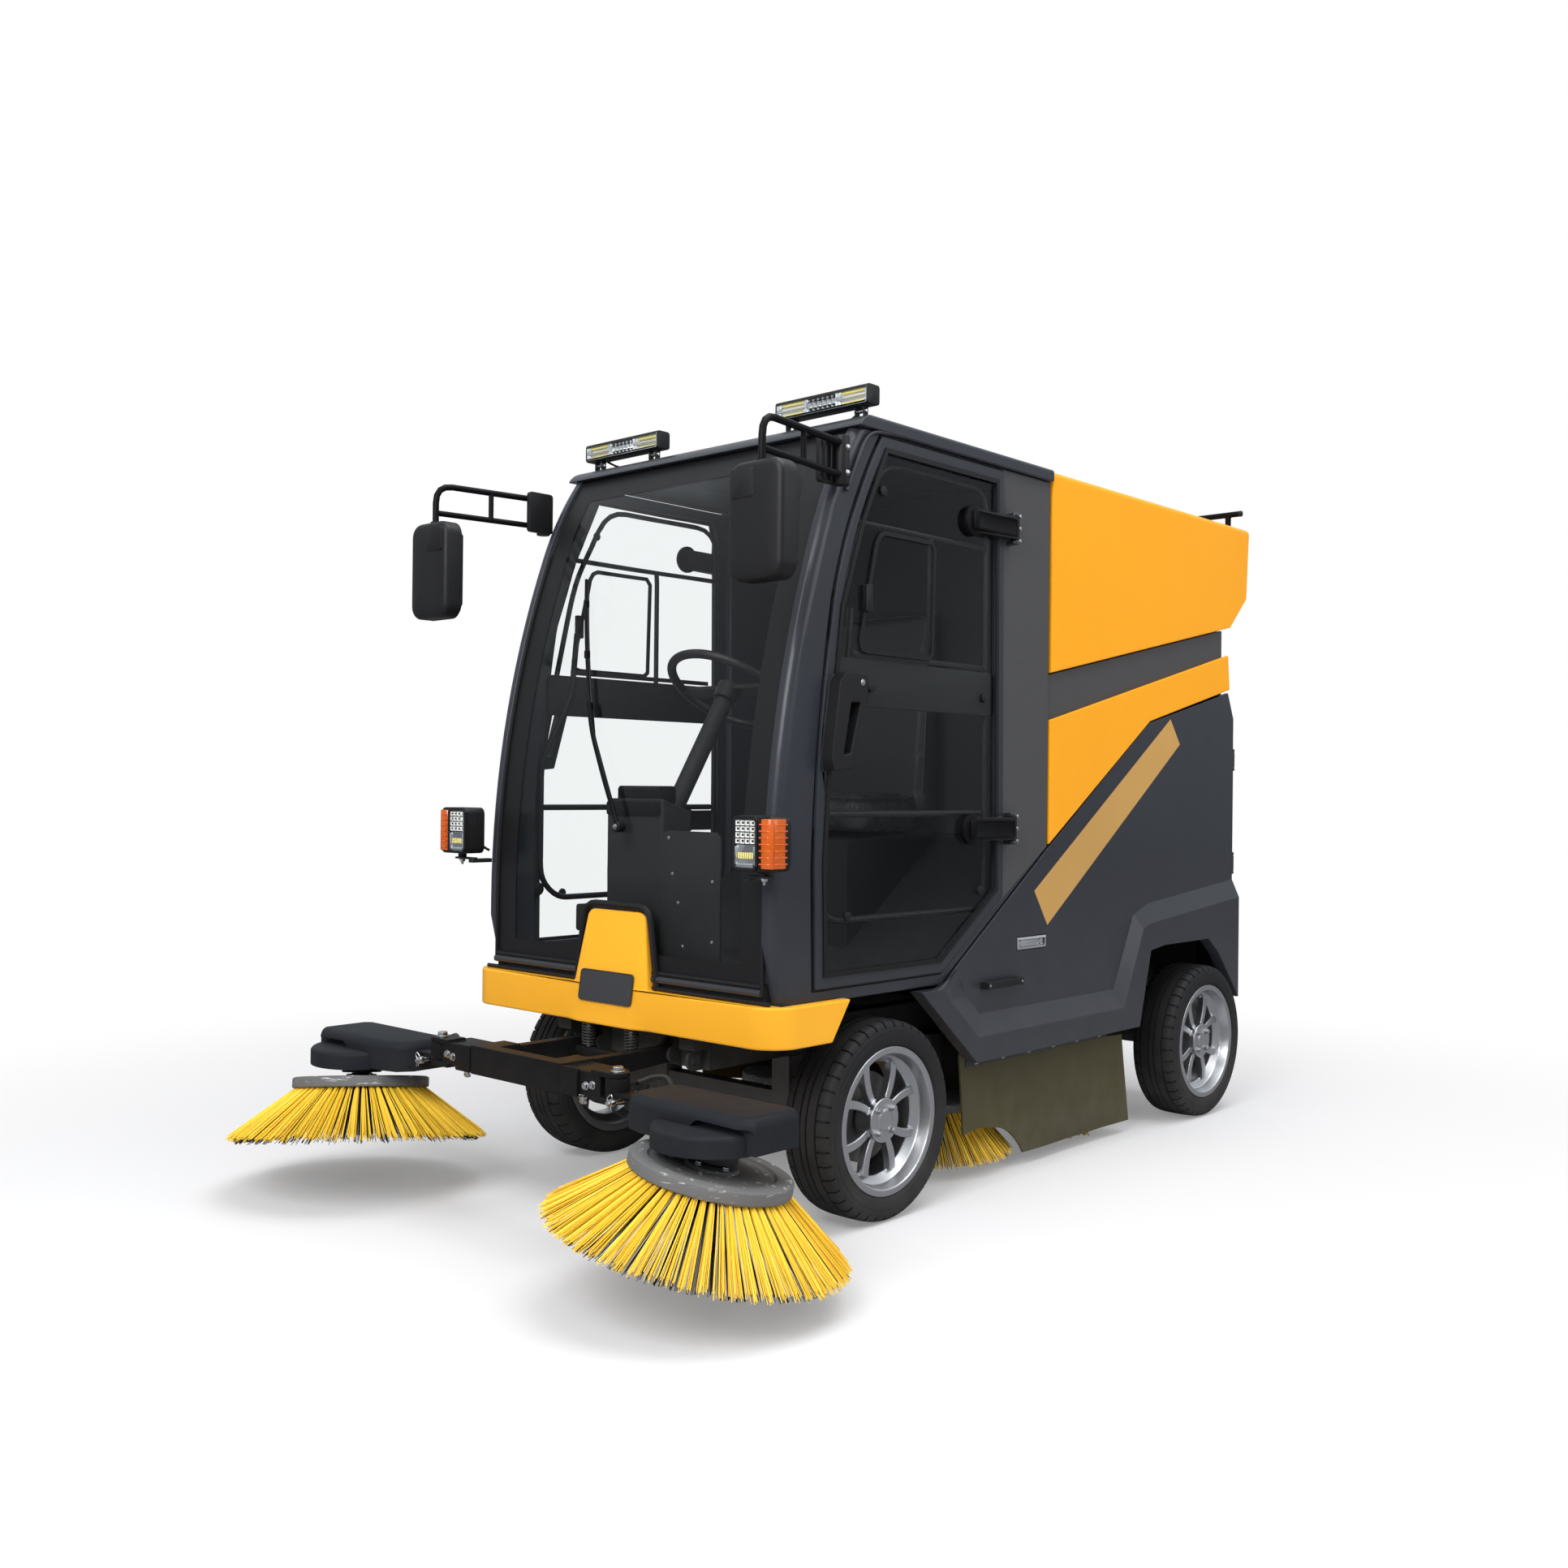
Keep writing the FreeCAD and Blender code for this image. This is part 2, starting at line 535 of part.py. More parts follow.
body = new_body("cross_members")
cross_tops = box(("-(%s)" % rail_in, "rail_base"), (rail_in, rail_top))
for place in ("rail_front", "bench_front", "mid_y + mid_motor", "post_y - cross_width / 2",
              "roller_y + roller_radius + cross_width", "wheelbase - cross_width / 2",
              "rail_tail - cross_width"):
    pad(body, "XZ", [cross_tops], place, "%s + cross_width" % place)
deck_slope = "((heel_z - hopper_low) / (heel_y - hopper_front))"
deck_front = "(hopper_low - hopper_gap)"
post_top = "(%s - deck_thick + (post_y - post_width / 2 - shell_front) * %s)" % (
    deck_front, deck_slope)
for side in (1, -1):
    low, high = (rail_out, "outrigger_x") if side > 0 else ("-outrigger_x", "-(%s)" % rail_out)
    pad(body, "XZ", [box((low, "rail_base"), (high, rail_top))],
        "post_y - post_width / 2", "post_y + post_width / 2")
    post = "(outrigger_x - post_width / 2)"
    pad(body, "XY", [box(("%s * %s - post_width / 2" % (side, post), "post_y - post_width / 2"),
                         ("%s * %s + post_width / 2" % (side, post), "post_y + post_width / 2"))],
        rail_top, post_top)
seat(body, "cross_members")

body = new_body("battery_pack")
pad(body, "XY", [box(("-battery_half", "battery_front"),
                     ("battery_half", "battery_front + battery_length"))],
    "%s + seat_gap" % rail_top, "%s + battery_height" % rail_top)
seat(body, "battery_pack")

# Cab side: a ring of pillars round the door opening, with the hinge pins on the rear pillar
nose_rise_share = 0.0438
brow_rise_share = 0.036
door_length = "(door_tail - door_front)"
door_height = "(door_top - door_base)"
door_shares = [(0.01, 0), (0.65, 0), (1, 0.137), (0.985, 1), (0.306, 1, -0.045),
               (0.079, 0.685, -0.0186), (0, 0.211)]


def door_outline(inset):
    """The door's outline, drawn in from its edge by an inset."""
    return outline(door_shares, "door_front + %s" % inset, "(%s - 2 * (%s))" % (door_length, inset),
                   "door_base + %s" % inset, "(%s - 2 * (%s))" % (door_height, inset))


ring_in = "cab_half - ring_width"
body = new_body("cab_side")
ring = [("chin_y", "cab_base"), ("nose_y", "nose_base"), ("nose_y", "nose_top", nose_rise_share),
        ("brow_y", "brow_z", brow_rise_share), ("roof_front", "roof_base"),
        ("cab_tail", "roof_base"), ("cab_tail", "slope_top"), ("pillar_base_y", "pillar_base_z"),
        ("floor_tail", "cab_base")]
pad(body, "YZ", [ring], ring_in, "cab_half")
round_edges(body, "pillar_round", lambda middle, way: middle.x > value("cab_half") - 1
            and (middle.y < value("door_front - ring_width")
                 or middle.y < value("roof_front - ring_width") and middle.z > value("brow_z")))
pocket(body, "YZ", [door_outline("-door_gap")], "%s - ring_width" % ring_in, "cab_half + ring_width")
hinge_seat = [("cab_half - ring_width / 2", "hinge_y - hinge_radius / 2"),
              ("hinge_x", "hinge_y - hinge_radius"),
              ("hinge_x", "hinge_y + hinge_radius"),
              ("cab_half - ring_width / 2", "hinge_y + hinge_radius / 2")]
for place in ("hinge_low", "hinge_high"):
    low = "%s - hinge_ear - seat_gap" % place
    high = "%s + hinge_height + seat_gap" % place
    for start in (low, high):
        pad(body, "XY", [hinge_seat], start, "%s + hinge_ear" % start)
        pad(body, "XY", [("circle", "hinge_x", "hinge_y", "hinge_radius")], start,
            "%s + hinge_ear" % start)
    pad(body, "XY", [("circle", "hinge_x", "hinge_y", "hinge_pin")], low, "%s + hinge_ear" % high)
both_sides("cab_sides", body)

# Cab door: a frame round the whole pane, with hinge straps and a pull handle
handle_shares = [(0.06, 0), (0.55, 0.03), (1, 0.9), (0.9, 1), (0.36, 1), (0.2, 0.9), (0, 0.14)]
grip_hole_shares = [(0.3, 0.16), (0.5, 0.18), (0.76, 0.7), (0.5, 0.7)]
body = new_body("cab_door")
pad(body, "YZ", [door_outline("0")], "door_inner", "door_inner + door_thick")
pocket(body, "YZ", [door_outline("door_rim")], "door_inner - door_thick",
       "door_inner + 2 * door_thick")
door_out = "door_inner + door_thick"
for place in ("hinge_low", "hinge_high"):
    top = "%s + hinge_height" % place
    strap = [("%s - strap_thick / 2" % door_out, "hinge_y - strap_length"),
             ("%s + strap_thick" % door_out, "hinge_y - strap_length"),
             ("hinge_x + hinge_radius", "hinge_y - hinge_radius * 2"),
             ("hinge_x + hinge_radius", "hinge_y"), ("hinge_x - hinge_radius", "hinge_y"),
             ("%s - strap_thick / 2" % door_out, "door_tail - strap_thick")]
    pad(body, "XY", [strap], place, top)
    pad(body, "XY", [("circle", "hinge_x", "hinge_y", "hinge_radius")], place, top)
for place in ("hinge_low", "hinge_high"):
    pocket(body, "XY", [("circle", "hinge_x", "hinge_y", "hinge_pin + running_gap")],
           "%s - hinge_ear" % place, "%s + hinge_height + hinge_ear" % place)
handle = outline(handle_shares, "handle_y", "handle_length", "handle_z", "handle_height")
grip_hole = outline(grip_hole_shares, "handle_y", "handle_length", "handle_z", "handle_height")
pad(body, "YZ", [handle, grip_hole], "%s - door_gap + seat_gap" % door_out,
    "%s + handle_out" % door_out)
left_and_right("cab_door", body)

body = new_body("door_glass")
pad(body, "YZ", [door_outline("door_rim + seat_gap")], "%s - door_glass - door_gap" % door_out,
    "%s - door_gap" % door_out)
left_and_right("door_glass", body)

# Windscreen: a pane curved like the pillars, set back a little between them
body = new_body("windscreen")
inset = "glass_inset"
pane = "(glass_inset + glass_thick)"
screen = [("nose_y + %s" % inset, "glass_base"), ("nose_y + %s" % inset, "nose_top", nose_rise_share),
          ("brow_y + %s" % inset, "brow_z", brow_rise_share),
          ("roof_front + %s" % inset, "roof_base - seat_gap"),
          ("roof_front + %s" % pane, "roof_base - seat_gap", -brow_rise_share),
          ("brow_y + %s" % pane, "brow_z", -nose_rise_share),
          ("nose_y + %s" % pane, "nose_top"), ("nose_y + %s" % pane, "glass_base")]
pad(body, "YZ", [screen], "seat_gap - (%s)" % ring_in, "%s - seat_gap" % ring_in)
seat(body, "windscreen")

nose_chord = "sqrt((brow_y - nose_y) ^ 2 + (brow_z - nose_top) ^ 2)"
nose_radius = "(%s * %r)" % (nose_chord, 1 / (8 * nose_rise_share) + nose_rise_share / 2)
nose_set_share = 1 / (8 * nose_rise_share) - nose_rise_share / 2
nose_centre_y = "((nose_y + brow_y) / 2 + (brow_z - nose_top) * %r)" % nose_set_share
nose_centre_z = "((nose_top + brow_z) / 2 - (brow_y - nose_y) * %r)" % nose_set_share


def nose_at(z):
    """The cab's front at a height between the foot of its curve and the brow."""
    return "(%s - sqrt(%s ^ 2 - (%s - %s) ^ 2))" % (nose_centre_y, nose_radius, z, nose_centre_z)


# Cab floor: one pressing with a sill under the screen and a slope up behind the seat
body = new_body("cab_floor")
sill_y = "nose_y + glass_inset"
floor_shape = [
    (sill_y, "floor_base"), (sill_y, "glass_base - seat_gap"),
    ("%s + floor_thick" % sill_y, "glass_base - seat_gap"),
    ("%s + floor_thick" % sill_y, "floor_base + floor_thick"),
    ("floor_tail", "floor_base + floor_thick"),
    ("cab_tail - rear_wall", "slope_top + floor_thick"),
    ("cab_tail", "slope_top + floor_thick"), ("cab_tail", "slope_top"),
    ("floor_tail + floor_thick / 2", "floor_base")]
pad(body, "YZ", [floor_shape], "seat_gap - (%s)" % ring_in, "%s - seat_gap" % ring_in)
for side in (1, -1):
    for place in ("rail_front + mount_width", "floor_tail - mount_width * 2"):
        pad(body, "XY", [box(("%s * rail_x - mount_width / 2" % side, place),
                             ("%s * rail_x + mount_width / 2" % side,
                              "%s + mount_width" % place))], rail_top, "floor_base")
slope = "((slope_top - floor_base) / (cab_tail - rear_wall - floor_tail))"
foot_z = "(floor_base + floor_thick / 2 + (bench_front - floor_tail) * %s)" % slope
back_z = "(floor_base + floor_thick / 2 + (bench_tail - floor_tail) * %s)" % slope
pad(body, "YZ", [[("bench_front", foot_z), ("bench_front", "bench_top"),
                  ("bench_tail", "bench_top + floor_thick"), ("bench_tail", back_z)]],
    "-bench_half * 0.8", "bench_half * 0.8")
seat(body, "cab_floor")

body = new_body("cab_rear_wall")
pad(body, "XZ", [box(("seat_gap - (%s)" % ring_in, "slope_top + floor_thick + seat_gap"),
                     ("%s - seat_gap" % ring_in, "roof_base - seat_gap"))],
    "cab_tail - rear_wall", "cab_tail")
seat(body, "cab_rear_wall")

# Roof: a shallow pan with rounded corners
body = new_body("cab_roof")
roof = [("roof_front - roof_edge", "roof_base"), ("cab_tail", "roof_base"),
        ("cab_tail", "roof_base + roof_thick"),
        ("roof_front + roof_thick * 1.2", "roof_base + roof_thick", -0.12)]
pad(body, "YZ", [roof], "-roof_half", "roof_half")
round_edges(body, "roof_edge", lambda middle, way: abs(way.y) > 0.99
            and middle.z > value("roof_base + roof_thick / 2"))
seat(body, "cab_roof")

# Console, steering column and seat base inside the cab
body = new_body("console")
pad(body, "YZ", [[("console_y", "floor_base + floor_thick"), ("console_y", "console_top"),
                  ("console_y + console_depth", "console_top - console_depth / 3"),
                  ("console_y + console_depth * 0.8", "floor_base + floor_thick")]],
    "-console_half", "console_half")
round_edges(body, "roof_edge", lambda middle, way: abs(way.z) > 0.9)
column = rod("column", ("0", "steer_y - column_length * sin(steer_tilt)",
                        "steer_z - column_length * cos(steer_tilt)"),
             ("0", "steer_y - steer_hub * sin(steer_tilt)", "steer_z - steer_hub * cos(steer_tilt)"),
             "column_radius")
seat(fused("console_set", [body, column]), "dashboard")

body = new_body("steering_wheel")
revolve(body, "XZ", [("circle", "steer_radius", "0", "steer_tube")], "V_Axis")
pad(body, "XY", [("circle", "0", "0", "steer_hub")], "seat_gap - steer_hub", "steer_tube")
pad(body, "XY", [box(("-steer_radius", "-steer_hub / 2"), ("steer_radius", "steer_hub / 2"))],
    "-steer_tube / 2", "steer_tube / 2")
body.Placement.Rotation = FreeCAD.Rotation(Vector(1, 0, 0), -value("steer_tilt"))
seat(body, "steering_wheel", None, "steer_y", "steer_z")

body = new_body("driver_seat")
seat_z = "bench_top + floor_thick + seat_gap"
pad(body, "XY", [box(("-bench_half", "bench_front"), ("bench_half", "bench_tail - back_thick"))],
    seat_z, "%s + cushion_thick" % seat_z)
pad(body, "YZ", [[("bench_tail - back_thick", seat_z),
                  ("bench_tail - back_thick + back_lean", "back_top"),
                  ("bench_tail", "back_top"), ("bench_tail", seat_z)]],
    "-bench_half", "bench_half")
seat(body, "driver_seat")

# Bumper: a wrap-round bar with a hump up over the foot of the screen
quarter_share = 0.2071
body = new_body("bumper")
bar_front = "bumper_front + hump_proud"
hook = [("-bumper_half", "bumper_upper_tail"), ("-bumper_half", bar_front),
        ("bumper_half", bar_front), ("bumper_half", "bumper_upper_tail"),
        ("bumper_half - bumper_side", "bumper_upper_tail"),
        ("bumper_half - bumper_side", "bumper_back"),
        ("bumper_side - bumper_half", "bumper_back"),
        ("bumper_side - bumper_half", "bumper_upper_tail")]
pad(body, "XY", [hook], "bumper_base", "bumper_top")
round_edges(body, "bumper_round", lambda middle, way: abs(way.z) > 0.99
            and middle.y < value("bumper_front + bumper_side / 2"))
pocket(body, "YZ", [[("bumper_lower_tail", "bumper_base"), ("bumper_upper_tail", "bumper_top"),
                     ("bumper_upper_tail + bumper_side", "bumper_top + bumper_side"),
                     ("bumper_upper_tail + bumper_side", "bumper_base - bumper_side"),
                     ("bumper_lower_tail - bumper_side * 0.2", "bumper_base - bumper_side * 0.4")]],
       "-bumper_half - bumper_side", "bumper_half + bumper_side")
hump_back = "nose_y + glass_inset - seat_gap"


def hump_ring(half, flare, front, shoulder):
    """The hump's section at one height: a flat front, two facets and a flat back."""
    return [("-%s - %s" % (half, flare), hump_back), ("-%s - %s" % (half, flare), shoulder),
            ("-%s" % half, front), (half, front), ("%s + %s" % (half, flare), shoulder),
            ("%s + %s" % (half, flare), hump_back)]


foot_ring = hump_ring("hump_half * 1.1", "hump_flare", "bumper_front", bar_front)
top_ring = hump_ring("hump_half", "hump_flare / 4", "bumper_front + hump_lean",
                     "bumper_front + hump_lean + hump_proud / 4")
hump = body.newObject("PartDesign::AdditiveLoft", "hump")
hump.Profile = shape_sketch(body, "XY", [foot_ring], "bumper_base")
hump.Sections = [shape_sketch(body, "XY", [top_ring], "hump_top")]
hump.Ruled = True
doc.recompute()
corner_x = "(hump_half + hump_flare / 4 + hump_round / 4)"
for side, rise in ((1, -quarter_share), (-1, quarter_share)):
    corner = [("%d * %s" % (side, corner_x), "hump_top + hump_round"),
              ("%d * (%s + hump_round)" % (side, corner_x), "hump_top + hump_round"),
              ("%d * (%s + hump_round)" % (side, corner_x), "hump_top - hump_round"),
              ("%d * %s" % (side, corner_x), "hump_top - hump_round", rise),
              ("%d * (%s - hump_round)" % (side, corner_x), "hump_top"),
              ("%d * (%s - hump_round)" % (side, corner_x), "hump_top + hump_round")]
    pocket(body, "XZ", [corner], "bumper_front", "bumper_back")
seat(body, "front_bumper")

# Brackets that carry the bumper on the rails' ends, each with a towing eye
body = new_body("tow_bracket")
pad(body, "XY", [box((rail_in, "bumper_back"), (rail_out, "rail_front"))],
    "rail_base + eye_out * 2", "bumper_base + bumper_side")
pad(body, "YZ", [box(("rail_front - eye_out", "rail_base"), ("rail_front", "rail_base + eye_out * 2"))],
    "rail_x - eye_plate / 2", "rail_x + eye_plate / 2")
pad(body, "YZ", [("circle", "rail_front - eye_out", "rail_base + eye_out", "eye_out")],
    "rail_x - eye_plate / 2", "rail_x + eye_plate / 2")
pocket(body, "YZ", [("circle", "rail_front - eye_out", "rail_base + eye_out", "eye_bore")],
       "rail_x - eye_plate", "rail_x + eye_plate")
both_sides("tow_brackets", body)

# Work lamps: housings on short arms from the pillars, with the lens in front
body = new_body("work_lamp")
lamp_out = "lamp_x + lamp_width"
pad(body, "XZ", [box(("lamp_x", "lamp_base"), (lamp_out, "lamp_base + lamp_height"))],
    "lamp_y", "lamp_y + lamp_depth")
round_edges(body, "lens_rim * 1.5", lambda middle, way: abs(way.y) > 0.99)
pad(body, "XZ", [box(("cab_half - ring_width * 0.8", "lamp_base - lamp_arm * 2"),
                     ("cab_half - ring_width * 0.2", "lamp_base + lamp_arm"))],
    "lamp_y + lamp_depth / 2", "%s - seat_gap" % nose_at("(lamp_base - lamp_arm * 2)"))
both_sides("work_lamps", body)

body = new_body("lamp_lens")
pad(body, "XZ", [box(("lamp_x + lens_rim", "lamp_base + lens_rim"),
                     ("%s - lens_rim" % lamp_out, "lamp_base + lamp_height - lens_rim"))],
    "lamp_y - lens_thick - seat_gap", "lamp_y - seat_gap")
both_sides("lamp_lenses", body)

body = new_body("light_bar")
roof_top = "roof_base + roof_thick"
pad(body, "YZ", [box(("bar_y - bar_depth / 2", "bar_base"),
                     ("bar_y + bar_depth / 2", "bar_base + bar_height"))],
    "bar_x", "bar_x + bar_length")
round_edges(body, "lens_rim", lambda middle, way: abs(way.x) > 0.99)
for place in ("bar_x + bar_foot", "bar_x + bar_length - bar_foot * 2"):
    pad(body, "YZ", [box(("bar_y - bar_foot / 2", "%s + seat_gap" % roof_top),
                         ("bar_y + bar_foot / 2", "bar_base + lens_rim"))],
        place, "%s + bar_foot" % place)
both_sides("light_bars", body)

# Mirrors: a head on two tied tubes that reach forward from a barrel on the front pillar
head = new_body("mirror_head")
pad(head, "XZ", [box(("mirror_x - mirror_width / 2", "mirror_z - mirror_height / 2"),
                     ("mirror_x + mirror_width / 2", "mirror_z + mirror_height / 2"))],
    "mirror_y - mirror_depth / 2", "mirror_y + mirror_depth / 2")
round_edges(head, "mirror_round", lambda middle, way: abs(way.y) > 0.99)
barrel = rod("barrel", ("pivot_x", "pivot_y", "pivot_base"),
             ("pivot_x", "pivot_y", "pivot_base + pivot_height"), "pivot_radius")
plate = doc.addObject("Part::Box", "pivot_plate")
for prop, text in (("Length", "pivot_x - cab_half"), ("Width", "pivot_radius * 2"),
                   ("Height", "pivot_height"), ("Placement.Base.x", "cab_half + seat_gap"),
                   ("Placement.Base.y", "pivot_y - pivot_radius"),
                   ("Placement.Base.z", "pivot_base")):
    set_size(plate, prop, text)
arms = [head, barrel, plate]
for height in ("arm_low", "arm_high"):
    arms.append(rod("arm", ("pivot_x", "pivot_y", height), ("mirror_x", "mirror_y", height),
                    "tube_radius"))
middle_x = "((pivot_x + mirror_x) / 2)"
middle_y = "((pivot_y + mirror_y) / 2)"
arms.append(rod("tie", (middle_x, middle_y, "arm_low"), (middle_x, middle_y, "arm_high"),
                "tube_radius * 0.8"))
arms.append(rod("stem", ("mirror_x", "mirror_y", "mirror_z + mirror_height / 2 - tube_radius"),
                ("mirror_x", "mirror_y", "arm_high"), "tube_radius * 1.3"))
both_sides("mirrors", fused("mirror_set", arms))

body = new_body("mirror_glass")
pad(body, "XZ", [box(("mirror_x - mirror_width / 2 + lens_rim",
                      "mirror_z - mirror_height / 2 + lens_rim"),
                     ("mirror_x + mirror_width / 2 - lens_rim",
                      "mirror_z + mirror_height / 2 - lens_rim"))],
    "mirror_y + mirror_depth / 2 + seat_gap", "mirror_y + mirror_depth / 2 + seat_gap + lens_thick")
both_sides("mirror_glasses", body)

# Wiper: a hub over the screen's foot, a sprung arm and a long blade
elbow_z = "(wiper_z + wiper_reach * 0.36)"
tip_end_z = "(wiper_z + wiper_reach)"
hub_y = "(%s + glass_inset - seat_gap)" % nose_at("(wiper_z - tube_radius * 1.6)")
blade_rise = "(tube_radius * 0.8 + (wiper_reach * 0.66) ^ 2 / (8 * %s))" % nose_radius
elbow_y = "(%s + glass_inset - %s)" % (nose_at(elbow_z), blade_rise)
tip_end_y = "(%s + glass_inset - %s)" % (nose_at(tip_end_z), blade_rise)
wiper = [rod("wiper_hub", ("0", hub_y, "wiper_z"), ("0", "%s - tube_radius * 3" % hub_y, "wiper_z"),
             "tube_radius * 1.6"),
         rod("wiper_arm", ("0", "%s - tube_radius * 2" % hub_y, "wiper_z"),
             ("-wiper_reach * 0.21", elbow_y, elbow_z), "tube_radius * 0.6"),
         rod("wiper_blade", ("-wiper_reach * 0.21", elbow_y, elbow_z),
             ("-wiper_reach * 0.44", tip_end_y, tip_end_z), "tube_radius * 0.6")]
seat(fused("wiper_set", wiper), "wiper")

# Body shell: a sloping deck under the hopper with its sides turned down
shell_tail = "(panel_top_y - panel_thick - seat_gap)"
deck_tail = "(%s + (%s - shell_front) * %s)" % (deck_front, shell_tail, deck_slope)
body = new_body("body_shell")
shell = [("shell_front", deck_front), ("shell_front", "slope_top + shell_lap"),
         ("knee_y", "knee_z + shell_lap"), (shell_tail, "stripe_z"), (shell_tail, deck_tail)]
pad(body, "YZ", [shell], "-shell_half", "shell_half")
room = [("shell_front - shell_lap", "%s - deck_thick - shell_lap * %s" % (deck_front, deck_slope)),
        ("shell_front - shell_lap", "slope_top - shell_lap"),
        ("%s + shell_lap" % shell_tail, "slope_top - shell_lap"),
        ("%s + shell_lap" % shell_tail, "%s - deck_thick + shell_lap * %s" % (deck_tail, deck_slope))]
pocket(body, "YZ", [room], "shell_wall - shell_half", "shell_half - shell_wall")
seat(body, "body_shell")

body = new_body("fairing")
stripe = [("shell_front", "slope_top + side_gap"), ("knee_y", "knee_z"), ("stripe_y", "stripe_z"),
          ("stripe_y - fairing_thick", "band_high"), ("shell_front", "band_low")]
pad(body, "YZ", [stripe], "shell_half", "shell_half + fairing_thick")
both_sides("side_fairings", body)

# Rear panel: the wall behind the battery, with louvres and the hinge ears of the hopper
# and the side doors
louvre_rows = 9
body = new_body("rear_panel")
wall = [("panel_tail", "panel_base"), ("panel_tail", "panel_hip"),
        ("panel_waist_y", "panel_waist_z"), ("panel_knee_y", "panel_knee_z"),
        ("panel_top_y", "panel_top"), ("panel_top_y - panel_thick", "panel_top"),
        ("panel_knee_y - panel_thick", "panel_knee_z"),
        ("panel_waist_y - panel_thick", "panel_waist_z"),
        ("panel_tail - panel_thick", "panel_hip"), ("panel_tail - panel_thick", "panel_base")]
pad(body, "YZ", [wall], "-panel_half", "panel_half")
pad(body, "YZ", [box(("panel_tail - panel_thick", "panel_foot"), ("panel_tail", "panel_base"))],
    "-panel_neck", "panel_neck")
ear = [("panel_knee_y - panel_thick / 2", "panel_knee_z"),
       ("tip_y", "tip_z - lug_radius"), ("tip_y", "tip_z + lug_radius"),
       ("panel_top_y - panel_thick / 2", "panel_top - lug_radius")]
louvres = []
for row in range(louvre_rows):
    base = "louvre_z + %d * louvre_step" % row
    for start in ("-panel_neck / 6 - louvre_length", "panel_neck / 6"):
        louvres.append(box((start, base), ("%s + louvre_length" % start,
                                           "%s + louvre_height" % base)))
pocket(body, "XZ", louvres, "panel_waist_y - panel_thick * 2", "panel_tail + panel_thick")
for side in (1, -1):
    for low, high in (("tip_x - seat_gap - boom_ear", "tip_x - seat_gap"),
                      ("tip_x + lug_width + seat_gap", "tip_x + lug_width + seat_gap + boom_ear")):
        if side < 0:
            low, high = "-(%s)" % high, "-(%s)" % low
        pad(body, "YZ", [ear], low, high)
        pad(body, "YZ", [("circle", "tip_y", "tip_z", "lug_radius")], low, high)
    low, high = ("tip_x - boom_ear", "tip_x + lug_width + boom_ear")
    if side < 0:
        low, high = "-(%s)" % high, "-(%s)" % low
    pad(body, "YZ", [("circle", "tip_y", "tip_z", "tip_pin")], low, high)
    for place in ("pin_low", "pin_high"):
        arm = [("%s * (panel_half - panel_thick)" % side, "panel_tail - panel_thick"),
               ("%s * pin_x" % side, "pin_y - pin_barrel"), ("%s * pin_x" % side, "pin_y + pin_barrel"),
               ("%s * (panel_half - panel_thick)" % side, "panel_tail")]
        for start in ("%s - boom_ear - seat_gap" % place, "%s + pin_height + seat_gap" % place):
            pad(body, "XY", [arm], start, "%s + boom_ear" % start)
            pad(body, "XY", [("circle", "%s * pin_x" % side, "pin_y", "pin_barrel")], start,
                "%s + boom_ear" % start)
        pad(body, "XY", [("circle", "%s * pin_x" % side, "pin_y", "pin_radius")],
            "%s - boom_ear" % place, "%s + pin_height + boom_ear" % place)
seat(body, "rear_panel")

body = new_body("tail_lamp")
pad(body, "XZ", [("circle", "tail_lamp_x", "tail_lamp_z", "tail_lamp_radius")],
    "panel_tail + seat_gap", "panel_tail + seat_gap + tail_lamp_depth")
both_sides("tail_lamps", body)

# Hopper: a hollow bin with a hatch opening at the back and two lugs under its heel
body = new_body("hopper_bin")
bin_side = [("hopper_front", "hopper_low"), ("hopper_front", "hopper_top"),
            ("hopper_tail", "hopper_top"), ("chin_tail_y", "chin_z"), ("heel_y", "heel_z")]
pad(body, "YZ", [bin_side], "-hopper_half", "hopper_half")
round_edges(body, "hopper_round", lambda middle, way: abs(way.y) > 0.99
            and middle.z > value("hopper_top - hopper_round"))
slope_wall = "(hopper_wall * sqrt(1 + %s ^ 2))" % deck_slope
bin_room = [("hopper_front + hopper_wall", "hopper_low + %s + hopper_wall * %s" % (slope_wall, deck_slope)),
            ("hopper_front + hopper_wall", "hopper_top - hopper_wall"),
            ("hopper_tail - hopper_wall * 1.1", "hopper_top - hopper_wall"),
            ("chin_tail_y - hopper_wall * 1.1", "chin_z + hopper_wall / 2"),
            ("heel_y - hopper_wall / 2", "heel_z + %s" % slope_wall)]
pocket(body, "YZ", [bin_room], "hopper_wall - hopper_half", "hopper_half - hopper_wall")
pocket(body, "XZ", [box(("-hatch_half - hatch_gap", "hatch_base - hatch_gap"),
                        ("hatch_half + hatch_gap", "hatch_top + hatch_gap"))],
       "chin_tail_y - hopper_wall * 3", "hopper_tail + hopper_wall")
hatch_lean = "((hopper_tail - chin_tail_y) / (hopper_top - chin_z))"
hatch_pin_z = "(hatch_top - hatch_thick / 2)"
hatch_pin_y = "(chin_tail_y + (%s - chin_z) * %s - hatch_thick / 2)" % (hatch_pin_z, hatch_lean)
for side in (1, -1):
    low, high = ("hatch_half + hatch_gap", "hatch_half + hatch_gap + hatch_ear")
    if side < 0:
        low, high = "-(%s)" % high, "-(%s)" % low
    pad(body, "YZ", [box(("%s - hatch_ear" % hatch_pin_y, "%s - hatch_ear" % hatch_pin_z),
                         ("hopper_tail - hopper_wall / 2", "hopper_top - hopper_wall / 2"))],
        low, high)
    pocket(body, "YZ", [("circle", hatch_pin_y, hatch_pin_z, "hatch_pin + running_gap")],
           "%s - hatch_gap" % low, "%s + hatch_gap" % high)
